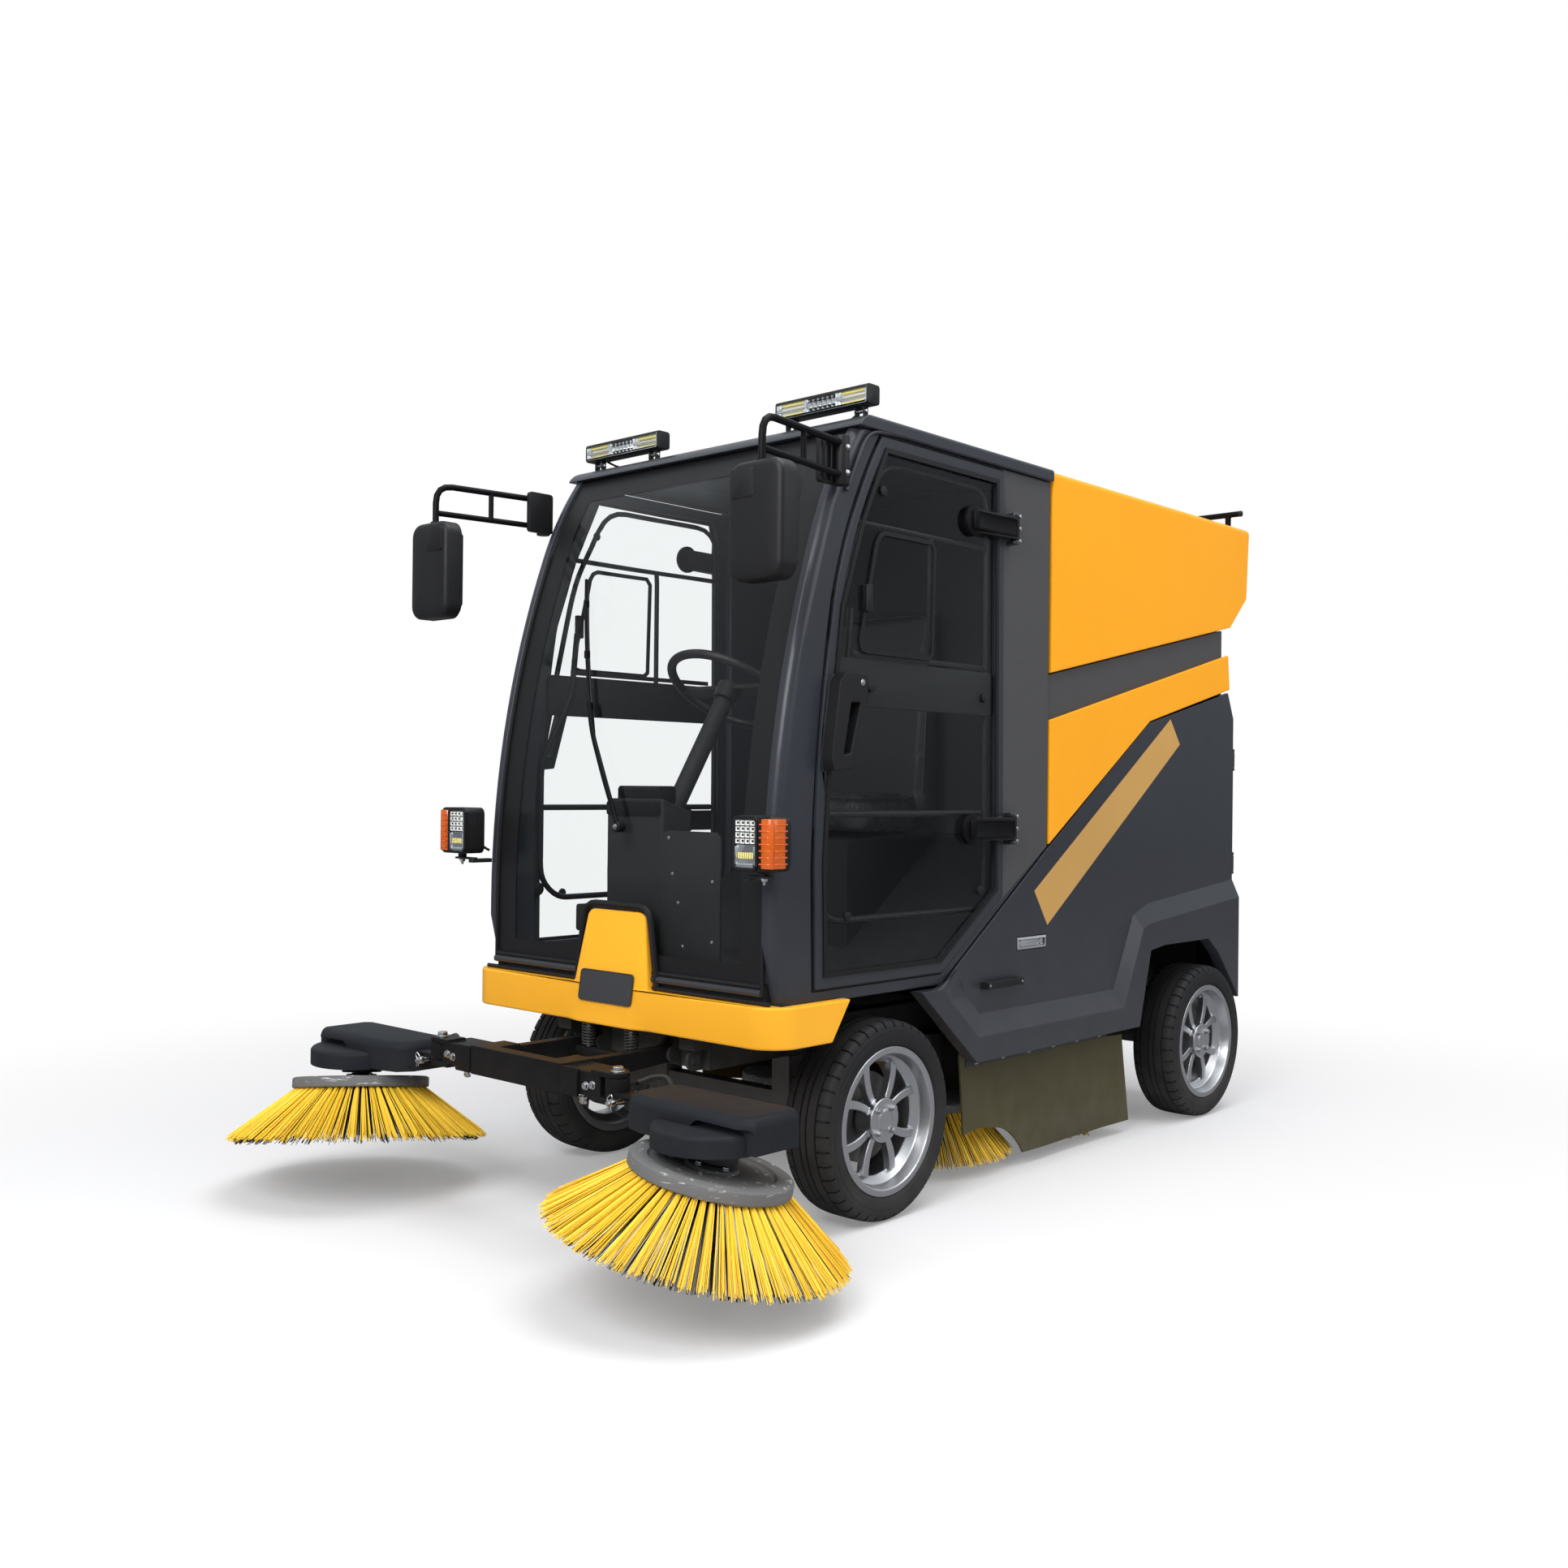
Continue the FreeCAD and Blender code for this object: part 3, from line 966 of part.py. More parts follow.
for side in (1, -1):
    low, high = ("tip_x", "tip_x + lug_width")
    if side < 0:
        low, high = "-(%s)" % high, "-(%s)" % low
    lug = [("tip_y - lug_radius * 0.98", "tip_z"), ("tip_y + lug_radius * 0.98", "tip_z"),
           ("heel_y + (chin_tail_y - heel_y) * 0.6", "heel_z + (chin_z - heel_z) * 0.6 + hopper_wall / 2"),
           ("heel_y + hopper_wall / 2", "heel_z + hopper_wall / 2")]
    pad(body, "YZ", [lug], low, high)
    pad(body, "YZ", [("circle", "tip_y", "tip_z", "lug_radius")], low, high)
    pocket(body, "YZ", [("circle", "tip_y", "tip_z", "tip_pin + running_gap")],
           "%s - hopper_wall" % low, "%s + hopper_wall" % high)
tube = rod("top_tube", ("-hopper_half * 0.98", "rail_tube_y", "tube_z"),
           ("hopper_half * 0.98", "rail_tube_y", "tube_z"), "rail_tube_radius")
legs = [body, tube]
for side in (1, -1):
    legs.append(rod("leg", ("%s * hopper_half * 0.9" % side, "rail_tube_y",
                            "hopper_top - hopper_wall / 2"),
                    ("%s * hopper_half * 0.9" % side, "rail_tube_y", "tube_z"), "rail_tube_radius"))
seat(fused("hopper_set", legs), "hopper")

# Hatch: the flap that closes the back of the hopper, hung from its top edge
body = new_body("hatch")
low_y = "(chin_tail_y + (hatch_base - chin_z) * %s)" % hatch_lean
high_y = "(chin_tail_y + (hatch_top - chin_z) * %s)" % hatch_lean
pad(body, "YZ", [[("%s - hatch_thick" % low_y, "hatch_base"), (low_y, "hatch_base"),
                  (high_y, "hatch_top"), ("%s - hatch_thick" % high_y, "hatch_top")]],
    "-hatch_half", "hatch_half")
pad(body, "YZ", [("circle", hatch_pin_y, hatch_pin_z, "hatch_pin")],
    "-(hatch_half + hatch_gap + hatch_ear / 2)", "hatch_half + hatch_gap + hatch_ear / 2")
seat(body, "hopper_hatch")

# Side door: a tall flat panel whose skirt stands out below a facet, cut round the rear wheel
body = new_body("side_door")
side_out = "side_inner + side_thick"
sill = "cab_base - side_gap * 1.3"
edge = [("side_front", sill), ("skirt_foot_y", "side_base"), ("arch_front_y", "side_base"),
        ("arch_rise_y", "arch_z"), ("arch_top_y", "arch_z + side_gap * 2"),
        ("arch_end_y", "arch_z + side_gap * 2"),
        ("arch_end_y + arch_round * 0.75", "arch_z - arch_round * 0.4"),
        ("arch_end_y + arch_round * 1.7", "arch_z - arch_round * 1.4"),
        ("side_tail", "arch_z - arch_round * 2.2")]
top = [("side_tail", "panel_waist_z - side_gap"), ("stripe_y - side_gap", "stripe_z - side_gap * 2"),
       ("knee_y", "knee_z - side_gap"), ("shell_front", "slope_top - side_gap"),
       ("pillar_base_y + side_gap", "pillar_base_z - side_gap"), ("floor_tail", sill)]
pad(body, "YZ", [edge + top], "side_inner", side_out)
facet_low = [("side_tail", "facet_top_z"), ("facet_knee_y + arch_round", "facet_top_z - facet_lip * 0.9"),
             ("facet_knee_y", "facet_knee_z"), ("facet_rise_y", "facet_low_z"),
             ("pillar_base_y + arch_round", "facet_low_z"),
             ("pillar_base_y + side_gap * 4", "facet_low_z + facet_lip"),
             ("pillar_base_y + side_gap", "pillar_base_z - side_gap * 2"), ("floor_tail", sill)]
facet_high = [("side_tail", "facet_top_z - facet_lip"),
              ("facet_knee_y + arch_round * 0.7", "facet_top_z - facet_lip * 1.9"),
              ("facet_knee_y + side_gap * 4", "facet_knee_z - facet_lip * 0.7"),
              ("facet_rise_y + side_gap * 4", "facet_high_z"),
              ("skirt_foot_y + side_gap", "facet_high_z"),
              ("floor_tail + side_gap * 2", "facet_low_z + facet_lip * 0.8"),
              ("floor_tail - side_gap * 5", sill), ("side_front + side_gap * 8", sill)]
low_sketch = shape_sketch(body, "YZ", [edge + facet_low], side_out)
high_sketch = shape_sketch(body, "YZ", [edge + facet_high], "%s + skirt_out" % side_out)
skirt = body.newObject("PartDesign::AdditiveLoft", "skirt")
skirt.Profile = low_sketch
skirt.Sections = [high_sketch]
skirt.Ruled = True
doc.recompute()
pocket(body, "YZ", [box(("latch_y", "latch_z"), ("latch_y + latch_length", "latch_z + latch_height"))],
       "%s - latch_deep" % side_out, "%s + latch_deep" % side_out)
grip_end = "(grip_y + grip_length)"
grip = [("%s - latch_deep" % side_out, "grip_y"), ("%s + grip_out" % side_out, "grip_y"),
        ("%s + grip_out" % side_out, grip_end), ("%s - latch_deep" % side_out, grip_end),
        ("%s - latch_deep" % side_out, "%s - grip_width" % grip_end),
        ("%s + grip_out - grip_width * 0.7" % side_out, "%s - grip_width" % grip_end),
        ("%s + grip_out - grip_width * 0.7" % side_out, "grip_y + grip_width"),
        ("%s - latch_deep" % side_out, "grip_y + grip_width")]
pad(body, "XY", [grip], "grip_z - grip_height / 2", "grip_z + grip_height / 2")
for place in ("pin_low", "pin_high"):
    arm = [("side_inner", "side_tail - pin_barrel * 2"), (side_out, "side_tail - pin_barrel * 2"),
           ("pin_x + pin_barrel", "pin_y"), ("pin_x - pin_barrel", "pin_y"),
           ("pin_x - pin_barrel", "pin_y - pin_barrel")]
    pad(body, "XY", [arm], place, "%s + pin_height" % place)
    pad(body, "XY", [("circle", "pin_x", "pin_y", "pin_barrel")], place, "%s + pin_height" % place)
    pocket(body, "XY", [("circle", "pin_x", "pin_y", "pin_radius + running_gap")],
           "%s - pin_barrel" % place, "%s + pin_height + pin_barrel" % place)
left_and_right("side_door", body)

# Main brush: a long roller under a hood that hangs from the rails
body = new_body("main_brush")
centre = ("roller_y", "roller_z")
pad(body, "YZ", [("circle",) + centre + ("roller_radius",)], "-roller_half", "roller_half")
pad(body, "YZ", [("circle",) + centre + ("roller_shaft",)], "seat_gap - hood_half", "hood_half - seat_gap")
seat(body, "main_brush")

body = new_body("brush_hood")
reach = "(roller_radius + hood_gap)"
arch_share = -0.462


def arch(inset):
    """The hood's section, drawn in by an inset."""
    return [("roller_y - %s + %s" % (reach, inset), "roller_z * 0.6"),
            ("roller_y + %s - %s" % (reach, inset), "roller_z * 0.6"),
            ("roller_y + %s - %s" % (reach, inset), "roller_z * 1.25", arch_share),
            ("roller_y - %s + %s" % (reach, inset), "roller_z * 1.25")]


pad(body, "YZ", [arch("0")], "-hood_half", "hood_half")
room = arch("hood_wall")
room[0] = (room[0][0], "roller_z * 0.4")
room[1] = (room[1][0], "roller_z * 0.4")
pocket(body, "YZ", [room], "hood_wall - hood_half", "hood_half - hood_wall")
pocket(body, "YZ", [("circle",) + centre + ("roller_shaft + running_gap",)],
       "-hood_half - hood_wall", "hood_half + hood_wall")
for side in (1, -1):
    pad(body, "XY", [box(("%s * rail_x - rail_width / 2" % side, "roller_y - rail_width / 2"),
                         ("%s * rail_x + rail_width / 2" % side, "roller_y + rail_width / 2"))],
        "roller_z + %s" % reach, "rail_base")
seat(body, "brush_hood")

flap_bend_share = 0.12
body = new_body("flap")
flap = [("flap_front_y", "flap_foot_z"), ("flap_front_y - hood_gap", "flap_top"),
        ("flap_tail_y - hood_gap * 2", "flap_top * 0.87"), ("flap_tail_y", "flap_base"),
        ("flap_base_y", "flap_base", -flap_bend_share),
        ("flap_foot_y", "flap_foot_z", -flap_bend_share / 2)]
pad(body, "YZ", [flap], "hood_half + seat_gap", "hood_half + seat_gap + flap_thick")
both_sides("side_flaps", body)

# Middle brushes: a plate and its bristles on a motor under each rail
body = new_body("mid_brush")
motor_low = "(mid_z + mid_thick * 2)"
plate = [("0", "mid_z"), ("mid_root", "mid_z"), ("mid_inner", "mid_ground"),
         ("mid_tip", "mid_ground"), ("mid_disc", "mid_z"), ("mid_disc", "mid_z + mid_thick"),
         ("mid_thick", "mid_z + mid_thick"), ("mid_thick", "%s - seat_gap" % motor_low),
         ("0", "%s - seat_gap" % motor_low)]
revolve(body, "XZ", [plate], "V_Axis")
seat(body, "mid_brush_left", "mid_x", "mid_y")
doc.recompute()
copy = mirrored(body, "mid_brush_right")
copy.Label = "mid_brush_right"
parts.append(copy)

body = new_body("mid_motor")
pad(body, "XY", [("circle", "mid_x", "mid_y", "mid_motor")], motor_low, "rail_base")
both_sides("mid_brush_motors", body)

# Boom: two arms from pins under the bumper carry the cross beam of the front brushes
body = new_body("boom_mount")
for side in (1, -1):
    for way in (1, -1):
        near = "%s * boom_arm_x + %s * (boom_arm_width / 2 + seat_gap)" % (side, way)
        far = "%s * boom_arm_x + %s * (boom_arm_width / 2 + seat_gap + boom_ear)" % (side, way)
        low, high = (near, far) if way > 0 else (far, near)
        pad(body, "YZ", [[("rail_front", "rail_base"),
                          ("rail_front", "rail_base + boom_eye * 4"),
                          ("boom_pivot_y", "boom_pivot_z + boom_eye"),
                          ("boom_pivot_y", "boom_pivot_z - boom_eye")]], low, high)
        pad(body, "YZ", [("circle", "boom_pivot_y", "boom_pivot_z", "boom_eye")], low, high)
    pad(body, "YZ", [("circle", "boom_pivot_y", "boom_pivot_z", "boom_pin")],
        "%s * boom_arm_x - boom_arm_width / 2 - boom_ear" % side,
        "%s * boom_arm_x + boom_arm_width / 2 + boom_ear" % side)
seat(body, "boom_mount")

body = new_body("brush_boom")
pad(body, "YZ", [box(("beam_front", "beam_base"), ("beam_back", "beam_base + beam_height"))],
    "-beam_wide", "beam_wide")
pad(body, "YZ", [box(("beam_front + beam_step", "beam_base + beam_step"),
                     ("beam_back - beam_step", "beam_base + beam_height - beam_step"))],
    "-beam_half", "beam_half")
pocket(body, "XY", [box(("-notch_half", "beam_back - notch_depth"),
                        ("notch_half", "beam_back + beam_step"))],
       "beam_base - beam_step", "beam_base + beam_height + beam_step")
for side in (1, -1):
    low = "%s * boom_arm_x - boom_arm_width / 2" % side
    high = "%s * boom_arm_x + boom_arm_width / 2" % side
    pad(body, "YZ", [[("boom_pivot_y", "boom_pivot_z - boom_eye"),
                      ("boom_pivot_y", "boom_pivot_z + boom_eye"),
                      ("beam_back", "beam_base + beam_height * 0.9"),
                      ("beam_back", "beam_base + beam_height * 0.1")]], low, high)
    pad(body, "YZ", [("circle", "boom_pivot_y", "boom_pivot_z", "boom_eye")], low, high)
    for start in ("beam_base", "beam_base + beam_height - arm_plate"):
        fork = [("%s * (beam_half - arm_eye)" % side, "arm_pin_y - arm_eye"),
                ("%s * arm_pin_x" % side, "arm_pin_y - arm_eye"),
                ("%s * arm_pin_x" % side, "arm_pin_y + arm_eye"),
                ("%s * (beam_half - arm_eye)" % side, "arm_pin_y + arm_eye")]
        pad(body, "XY", [fork], start, "%s + arm_plate" % start)
        pad(body, "XY", [("circle", "%s * arm_pin_x" % side, "arm_pin_y", "arm_eye")], start,
            "%s + arm_plate" % start)
    pad(body, "XY", [("circle", "%s * arm_pin_x" % side, "arm_pin_y", "arm_pin")],
        "beam_base", "beam_base + beam_height")
pad(body, "YZ", [("circle", "spring_y", "boom_pivot_z - tie_radius", "tie_radius")],
    "-boom_arm_x", "boom_arm_x")
for side in (1, -1):
    pocket(body, "YZ", [("circle", "boom_pivot_y", "boom_pivot_z", "boom_pin + running_gap")],
           "%s * boom_arm_x - boom_arm_width" % side, "%s * boom_arm_x + boom_arm_width" % side)
seat(body, "brush_boom")

body = new_body("lift_spring")
pad(body, "XY", [("circle", "spring_x", "spring_y", "spring_radius")],
    "boom_pivot_z + seat_gap", "bumper_base - seat_gap")
both_sides("lift_springs", body)

# Brush arm: swings on the pin at the beam's end and holds the motor and its cover
lean_out = "(%s * sin(brush_tilt))" % lean_out_share
lean_back = "(%s * sin(brush_tilt))" % lean_back_share
lean_axis = Vector(value(lean_out), value(lean_back), value("cos(brush_tilt)")).normalize()
lean = FreeCAD.Rotation(Vector(0, 0, 1), lean_axis)
arm_low = "beam_base + arm_plate + seat_gap"
arm_high = "beam_base + beam_height - arm_plate - seat_gap"
body = new_body("arm_bar")
pad(body, "XY", [("circle", "arm_pin_x", "arm_pin_y", "arm_eye")], arm_low, arm_high)
arm_inner = "arm_pin_y - arm_eye * 0.8"
arm_outer = "arm_pin_y + arm_eye * 0.8"
pad(body, "XY", [box(("arm_pin_x", arm_inner), ("cover_in + cover_cut", arm_outer))],
    arm_low, "cover_top - cover_ledge")
pocket(body, "XY", [("circle", "arm_pin_x", "arm_pin_y", "arm_pin + running_gap")],
       "beam_base", "beam_base + beam_height")
cover = [("cover_in", "cover_back - cover_cut"), ("cover_in", "cover_front + cover_cut * 2"),
         ("cover_in + cover_cut * 2", "cover_front"), ("cover_out - cover_cut * 2", "cover_front"),
         ("cover_out", "cover_front + cover_cut * 2"), ("cover_out", "cover_back - cover_cut"),
         ("cover_out - cover_cut", "cover_back"), ("cover_in + cover_cut", "cover_back")]
pad(body, "XY", [cover], "cover_base", "cover_top")
round_edges(body, "cover_cut / 3", lambda middle, way: middle.z > value("cover_top") - 1
            and middle.x > value("cover_in") - 1)
pocket(body, "XZ", [[("brush_x - cover_cut", "cover_base - cover_cut"),
                     ("brush_x + cover_cut", "cover_top - cover_ledge"),
                     ("cover_out + cover_cut", "cover_top - cover_ledge"),
                     ("cover_out + cover_cut", "cover_base - cover_cut")]],
       "cover_front - cover_cut", "cover_front + cover_recess")
motor = doc.addObject("Part::Cylinder", "brush_motor")
set_size(motor, "Radius", "motor_radius")
set_size(motor, "Height", "motor_height")
motor.Placement = FreeCAD.Placement(
    Vector(value("brush_x"), value("brush_y"), value("brush_z")) + lean_axis * value("brush_thick / 3"),
    lean)
left_and_right("side_arm", fused("arm_set", [body, motor]))

# Front brush: a plate on the motor's shaft with a flared ring of bristles under it
body = new_body("side_brush")
pad(body, "XY", [("circle", "0", "0", "brush_disc")], "-brush_thick", "0")
pad(body, "XY", [("circle", "0", "0", "eye_radius")], "-brush_thick / 2",
    "brush_thick / 3 - seat_gap")
revolve(body, "XZ", [[("brush_inner_root", "-brush_thick / 2"), ("brush_root", "-brush_thick / 2"),
                      ("brush_root", "-brush_thick"), ("brush_tip", "tip_ragged - brush_drop"),
                      ("brush_inner_tip", "-brush_drop")]], "V_Axis")
body.Placement.Rotation = lean
seat(body, "side_brush_left", "brush_x", "brush_y", "brush_z")
doc.recompute()
copy = mirrored(body, "side_brush_right")
copy.Label = "side_brush_right"
parts.append(copy)

doc.recompute()
for thing in doc.Objects:
    if "Invalid" in thing.State or "Error" in thing.State:
        raise RuntimeError("%s (%s) failed: %s" % (thing.Name, thing.Label, thing.State))
for thing in parts:
    if thing.Shape.isNull() or not thing.Shape.isValid():
        raise RuntimeError("%s has no valid shape" % thing.Label)

os.makedirs("parts", exist_ok=True)
for thing in parts:
    thing.Shape.exportStep("parts/%s.step" % thing.Label)
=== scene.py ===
# Compact road sweeper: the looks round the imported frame, in metres.
# The sections follow the machine as it is put together, from its frame to its lamps.
import json
import math
import random

import bpy
from mathutils import Matrix, Vector


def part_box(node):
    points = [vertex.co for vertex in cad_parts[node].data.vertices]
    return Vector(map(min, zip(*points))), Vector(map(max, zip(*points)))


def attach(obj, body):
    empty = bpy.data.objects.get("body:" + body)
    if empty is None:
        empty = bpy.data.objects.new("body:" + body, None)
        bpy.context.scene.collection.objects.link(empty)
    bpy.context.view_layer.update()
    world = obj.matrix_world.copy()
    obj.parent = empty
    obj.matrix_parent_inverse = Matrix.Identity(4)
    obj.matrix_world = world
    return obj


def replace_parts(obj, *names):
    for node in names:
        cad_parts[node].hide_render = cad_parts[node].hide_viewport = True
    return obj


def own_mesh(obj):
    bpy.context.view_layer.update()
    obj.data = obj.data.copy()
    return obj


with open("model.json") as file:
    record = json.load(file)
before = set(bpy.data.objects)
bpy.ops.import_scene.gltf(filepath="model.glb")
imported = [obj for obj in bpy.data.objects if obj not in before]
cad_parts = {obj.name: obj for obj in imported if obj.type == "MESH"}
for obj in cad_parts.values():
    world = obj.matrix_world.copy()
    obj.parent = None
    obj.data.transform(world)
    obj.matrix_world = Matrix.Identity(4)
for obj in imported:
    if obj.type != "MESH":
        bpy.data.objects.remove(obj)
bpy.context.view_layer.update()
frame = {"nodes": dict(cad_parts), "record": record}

nodes = frame["nodes"]

# ---- Studio: a pale floor, a white backdrop seen by the camera, three soft lamps and the
# camera, which stands at the front left corner at the height of a person's chest.
bpy.context.scene.view_settings.view_transform = "Standard"

camera_data = bpy.data.cameras.new("camera")
camera_data.sensor_width = 36.0
camera_data.lens = 34.314
camera = bpy.data.objects.new("camera", camera_data)
bpy.context.scene.collection.objects.link(camera)
camera_place = Vector((3.21432, -3.82174, 1.20178))
heading, rise, roll = (math.radians(angle) for angle in (42.303, 0.169, 0.588))
camera.matrix_world = (Matrix.Translation(camera_place) @ Matrix.Rotation(heading, 4, "Z")
    @ Matrix.Rotation(math.pi / 2 + rise, 4, "X") @ Matrix.Rotation(roll, 4, "Z"))
bpy.context.scene.camera = camera


def feed(made, values):
    """A node's inputs, each given a constant, a socket or a node's first output."""
    for key, value in dict(values).items():
        if isinstance(value, bpy.types.Node):
            value = value.outputs[0]
        if isinstance(value, bpy.types.NodeSocket):
            made.id_data.links.new(value, made.inputs[key])
        else:
            made.inputs[key].default_value = value
    return made


def node(tree, kind, values=(), **settings):
    """A new shader node with its settings and its inputs."""
    made = tree.nodes.new("ShaderNode" + kind)
    for key, value in settings.items():
        setattr(made, key, value)
    return feed(made, values)


def math_node(tree, kind, *values):
    """A Math node, fed by sockets, nodes or numbers."""
    return node(tree, "Math", enumerate(values), operation=kind)


def texture_space(tree, key="Object"):
    return node(tree, "TexCoord").outputs[key]


def material(name, values=()):
    """A new material, its node tree and its shader, fed with values."""
    finish = bpy.data.materials.new(name)
    finish.use_nodes = True
    return (finish, finish.node_tree, feed(finish.node_tree.nodes["Principled BSDF"], values))


world = bpy.data.worlds.new("studio")
bpy.context.scene.world = world
world.use_nodes = True
tree = world.node_tree
tree.nodes.clear()
ray = node(tree, "LightPath").outputs
diffuse_sky = node(tree, "Background", {"Color": (0.95, 0.97, 1.0, 1), "Strength": 0.5})
# Gloss mirrors a sky that is dim at the horizon and bright overhead.
climb = node(tree, "SeparateXYZ", {0: texture_space(tree, "Generated")}).outputs["Z"]
strength = node(tree, "MapRange", {"Value": climb, "From Max": 0.8, "To Min": 0.3})
glossy_sky = node(tree, "Background", {"Color": (0.9, 0.95, 1.0, 1), "Strength": strength})
lit_sky = node(tree, "MixShader", {0: ray["Is Glossy Ray"], 1: diffuse_sky, 2: glossy_sky})
# The camera sees plain white, through glass too.
seen = math_node(tree, "MAXIMUM", ray["Is Camera Ray"], ray["Is Transmission Ray"])
backdrop = node(tree, "Background", {"Color": (1, 1, 1, 1), "Strength": 1.0})
whole_sky = node(tree, "MixShader", {0: seen, 1: lit_sky, 2: backdrop})
node(tree, "OutputWorld", {"Surface": whole_sky})

for name, place, target, size, power in (("key", (1.5, -5.0, 3.9), (0, -0.6, 0.8), 3.0, 225),
        ("side", (5.2, 1.4, 3.8), (0, 0.4, 1.0), 3.2, 70), ("top", (1.9, 0.3, 9.0), (0, 0, 1.0),
        5.8, 510)):
    lamp_data = bpy.data.lights.new(name, "AREA")
    lamp_data.size = size
    lamp_data.energy = power
    lamp = bpy.data.objects.new(name, lamp_data)
    bpy.context.scene.collection.objects.link(lamp)
    way = Vector(target) - Vector(place)
    lamp.matrix_world = (Matrix.Translation(place) @ way.to_track_quat("-Z",
        "Y").to_matrix().to_4x4())

bpy.ops.object.select_all(action="DESELECT")
bpy.ops.mesh.primitive_plane_add(size=60, location=(0, 0, 0))
floor = bpy.context.object
floor.name = "floor"
floor_finish, tree, matt = material("pale_floor", {"Roughness": 0.9, "Specular IOR Level": 0.1})
ray = node(tree, "LightPath").outputs
# Gloss mirrors a darker floor, so that the black parts stay black.
mirrored = math_node(tree, "SUBTRACT", ray["Is Glossy Ray"], ray["Is Transmission Ray"])
mirrored.use_clamp = True
tint = node(tree, "Mix", {0: mirrored, 6: (0.74, 0.74, 0.75, 1), 7: (0.26, 0.26, 0.27, 1)},
    data_type="RGBA")
feed(matt, {"Base Color": tint.outputs[2]})
# Far from the machine the floor that the camera sees fades into the white backdrop.
reach = node(tree, "VectorMath", {0: texture_space(tree)}, operation="LENGTH").outputs["Value"]
fade = node(tree, "MapRange", {"Value": reach, "From Min": 1.5, "From Max": 4.2, "To Min": 0.22},
    interpolation_type="SMOOTHSTEP")
seen = math_node(tree, "MAXIMUM", ray["Is Camera Ray"], ray["Is Transmission Ray"])
white = node(tree, "Emission", {"Color": (1, 1, 1, 1)})
blend = node(tree, "MixShader", {0: math_node(tree, "MULTIPLY", fade, seen), 1: matt, 2: white})
feed(tree.nodes["Material Output"], {"Surface": blend})
floor.data.materials.append(floor_finish)

# ---- Ladder frame and running gear: welded steel under a thin coat of satin black. The
# coat's fine orange peel, its shade that drifts over the surface and the road dust on the
# low parts are one shader group, which the other finishes use too.
dust_tint = (0.3, 0.28, 0.25, 1)
surface = bpy.data.node_groups.new("used_surface", "ShaderNodeTree")
for name, kind, default in (("Coordinate", "NodeSocketVector", None),
        ("Tint", "NodeSocketColor", (0.5, 0.5, 0.5, 1)), ("Drift", "NodeSocketFloat", 0.12),
        ("Roughness", "NodeSocketFloat", 0.4), ("Dust", "NodeSocketFloat", 0.3),
        ("Dust Top", "NodeSocketFloat", 0.7), ("Grain Scale", "NodeSocketFloat", 400.0)):
    socket = surface.interface.new_socket(name=name, in_out="INPUT", socket_type=kind)
    if default is not None:
        socket.default_value = default
for name, kind in (("Color", "NodeSocketColor"), ("Roughness", "NodeSocketFloat"),
        ("Height", "NodeSocketFloat")):
    surface.interface.new_socket(name=name, in_out="OUTPUT", socket_type=kind)
given = surface.nodes.new("NodeGroupInput").outputs
result = surface.nodes.new("NodeGroupOutput")


def noise_node(tree, coordinate, scale, detail=3.0, distortion=0.0):
    """A Noise node's factor at a scale that is a number or a socket."""
    return node(tree, "TexNoise", {"Vector": coordinate, "Scale": scale, "Detail": detail,
        "Distortion": distortion}).outputs["Fac"]


place = given["Coordinate"]
patchy = noise_node(surface, place, 14.0, 5.0)
uneven = math_node(surface, "SUBTRACT", noise_node(surface, place, 2.3), 0.5)
shade = math_node(surface, "MULTIPLY_ADD", uneven, given["Drift"], 1.0)
drifting = node(surface, "VectorMath", {0: given["Tint"], "Scale": shade}, operation="SCALE")
height = node(surface, "SeparateXYZ", {0: place}).outputs["Z"]
low_down = node(surface, "MapRange", {"Value": height, "From Min": 0.05,
    "From Max": given["Dust Top"], "To Min": 1.0, "To Max": 0.0})
settled = math_node(surface, "MULTIPLY", math_node(surface, "MULTIPLY", low_down, patchy),
    given["Dust"])
dusty = node(surface, "Mix", {0: settled, 6: drifting, 7: dust_tint}, data_type="RGBA")
worn = math_node(surface, "MULTIPLY_ADD", math_node(surface, "SUBTRACT", patchy, 0.5), 0.16,
    given["Roughness"])
rough = math_node(surface, "ADD", worn, math_node(surface, "MULTIPLY", settled, 0.6))
feed(result, {"Color": dusty.outputs[2], "Roughness": rough,
    "Height": noise_node(surface, place, given["Grain Scale"], 2.0)})


def coating(name, tint, roughness, metallic=0.0, coat=0.0, drift=0.12, dust=0.3, dust_top=0.7,
        grain=400.0, bump=0.05, edge=0.002, shine=0.25):
    """A finish of one base colour with grain, drift of shade, dust and softened edges."""
    finish, tree, shader = material(name, {"Metallic": metallic, "Specular IOR Level": shine,
        "Coat Weight": coat, "Coat Roughness": 0.08})
    used = node(tree, "Group", node_tree=surface)
    feed(used, {"Coordinate": texture_space(tree), "Tint": tint + (1,), "Drift": drift,
        "Roughness": roughness, "Dust": dust, "Dust Top": dust_top, "Grain Scale": grain})
    raised = node(tree, "Bump", {"Strength": bump, "Distance": 0.002,
        "Height": used.outputs["Height"]})
    if edge:
        feed(raised, {"Normal": node(tree, "Bevel", {"Radius": edge}, samples=4)})
    feed(shader, {"Base Color": used.outputs["Color"], "Roughness": used.outputs["Roughness"],
        "Normal": raised})
    return finish


frame_black = coating("frame_black", (0.015, 0.016, 0.018), 0.45, dust=0.35)
cast_grey = coating("cast_grey", (0.1, 0.1, 0.105), 0.55, metallic=0.6, dust=0.7, bump=0.3,
    grain=260.0)
battery_case = coating("battery_case", (0.05, 0.055, 0.06), 0.5, dust=0.2, bump=0.15)

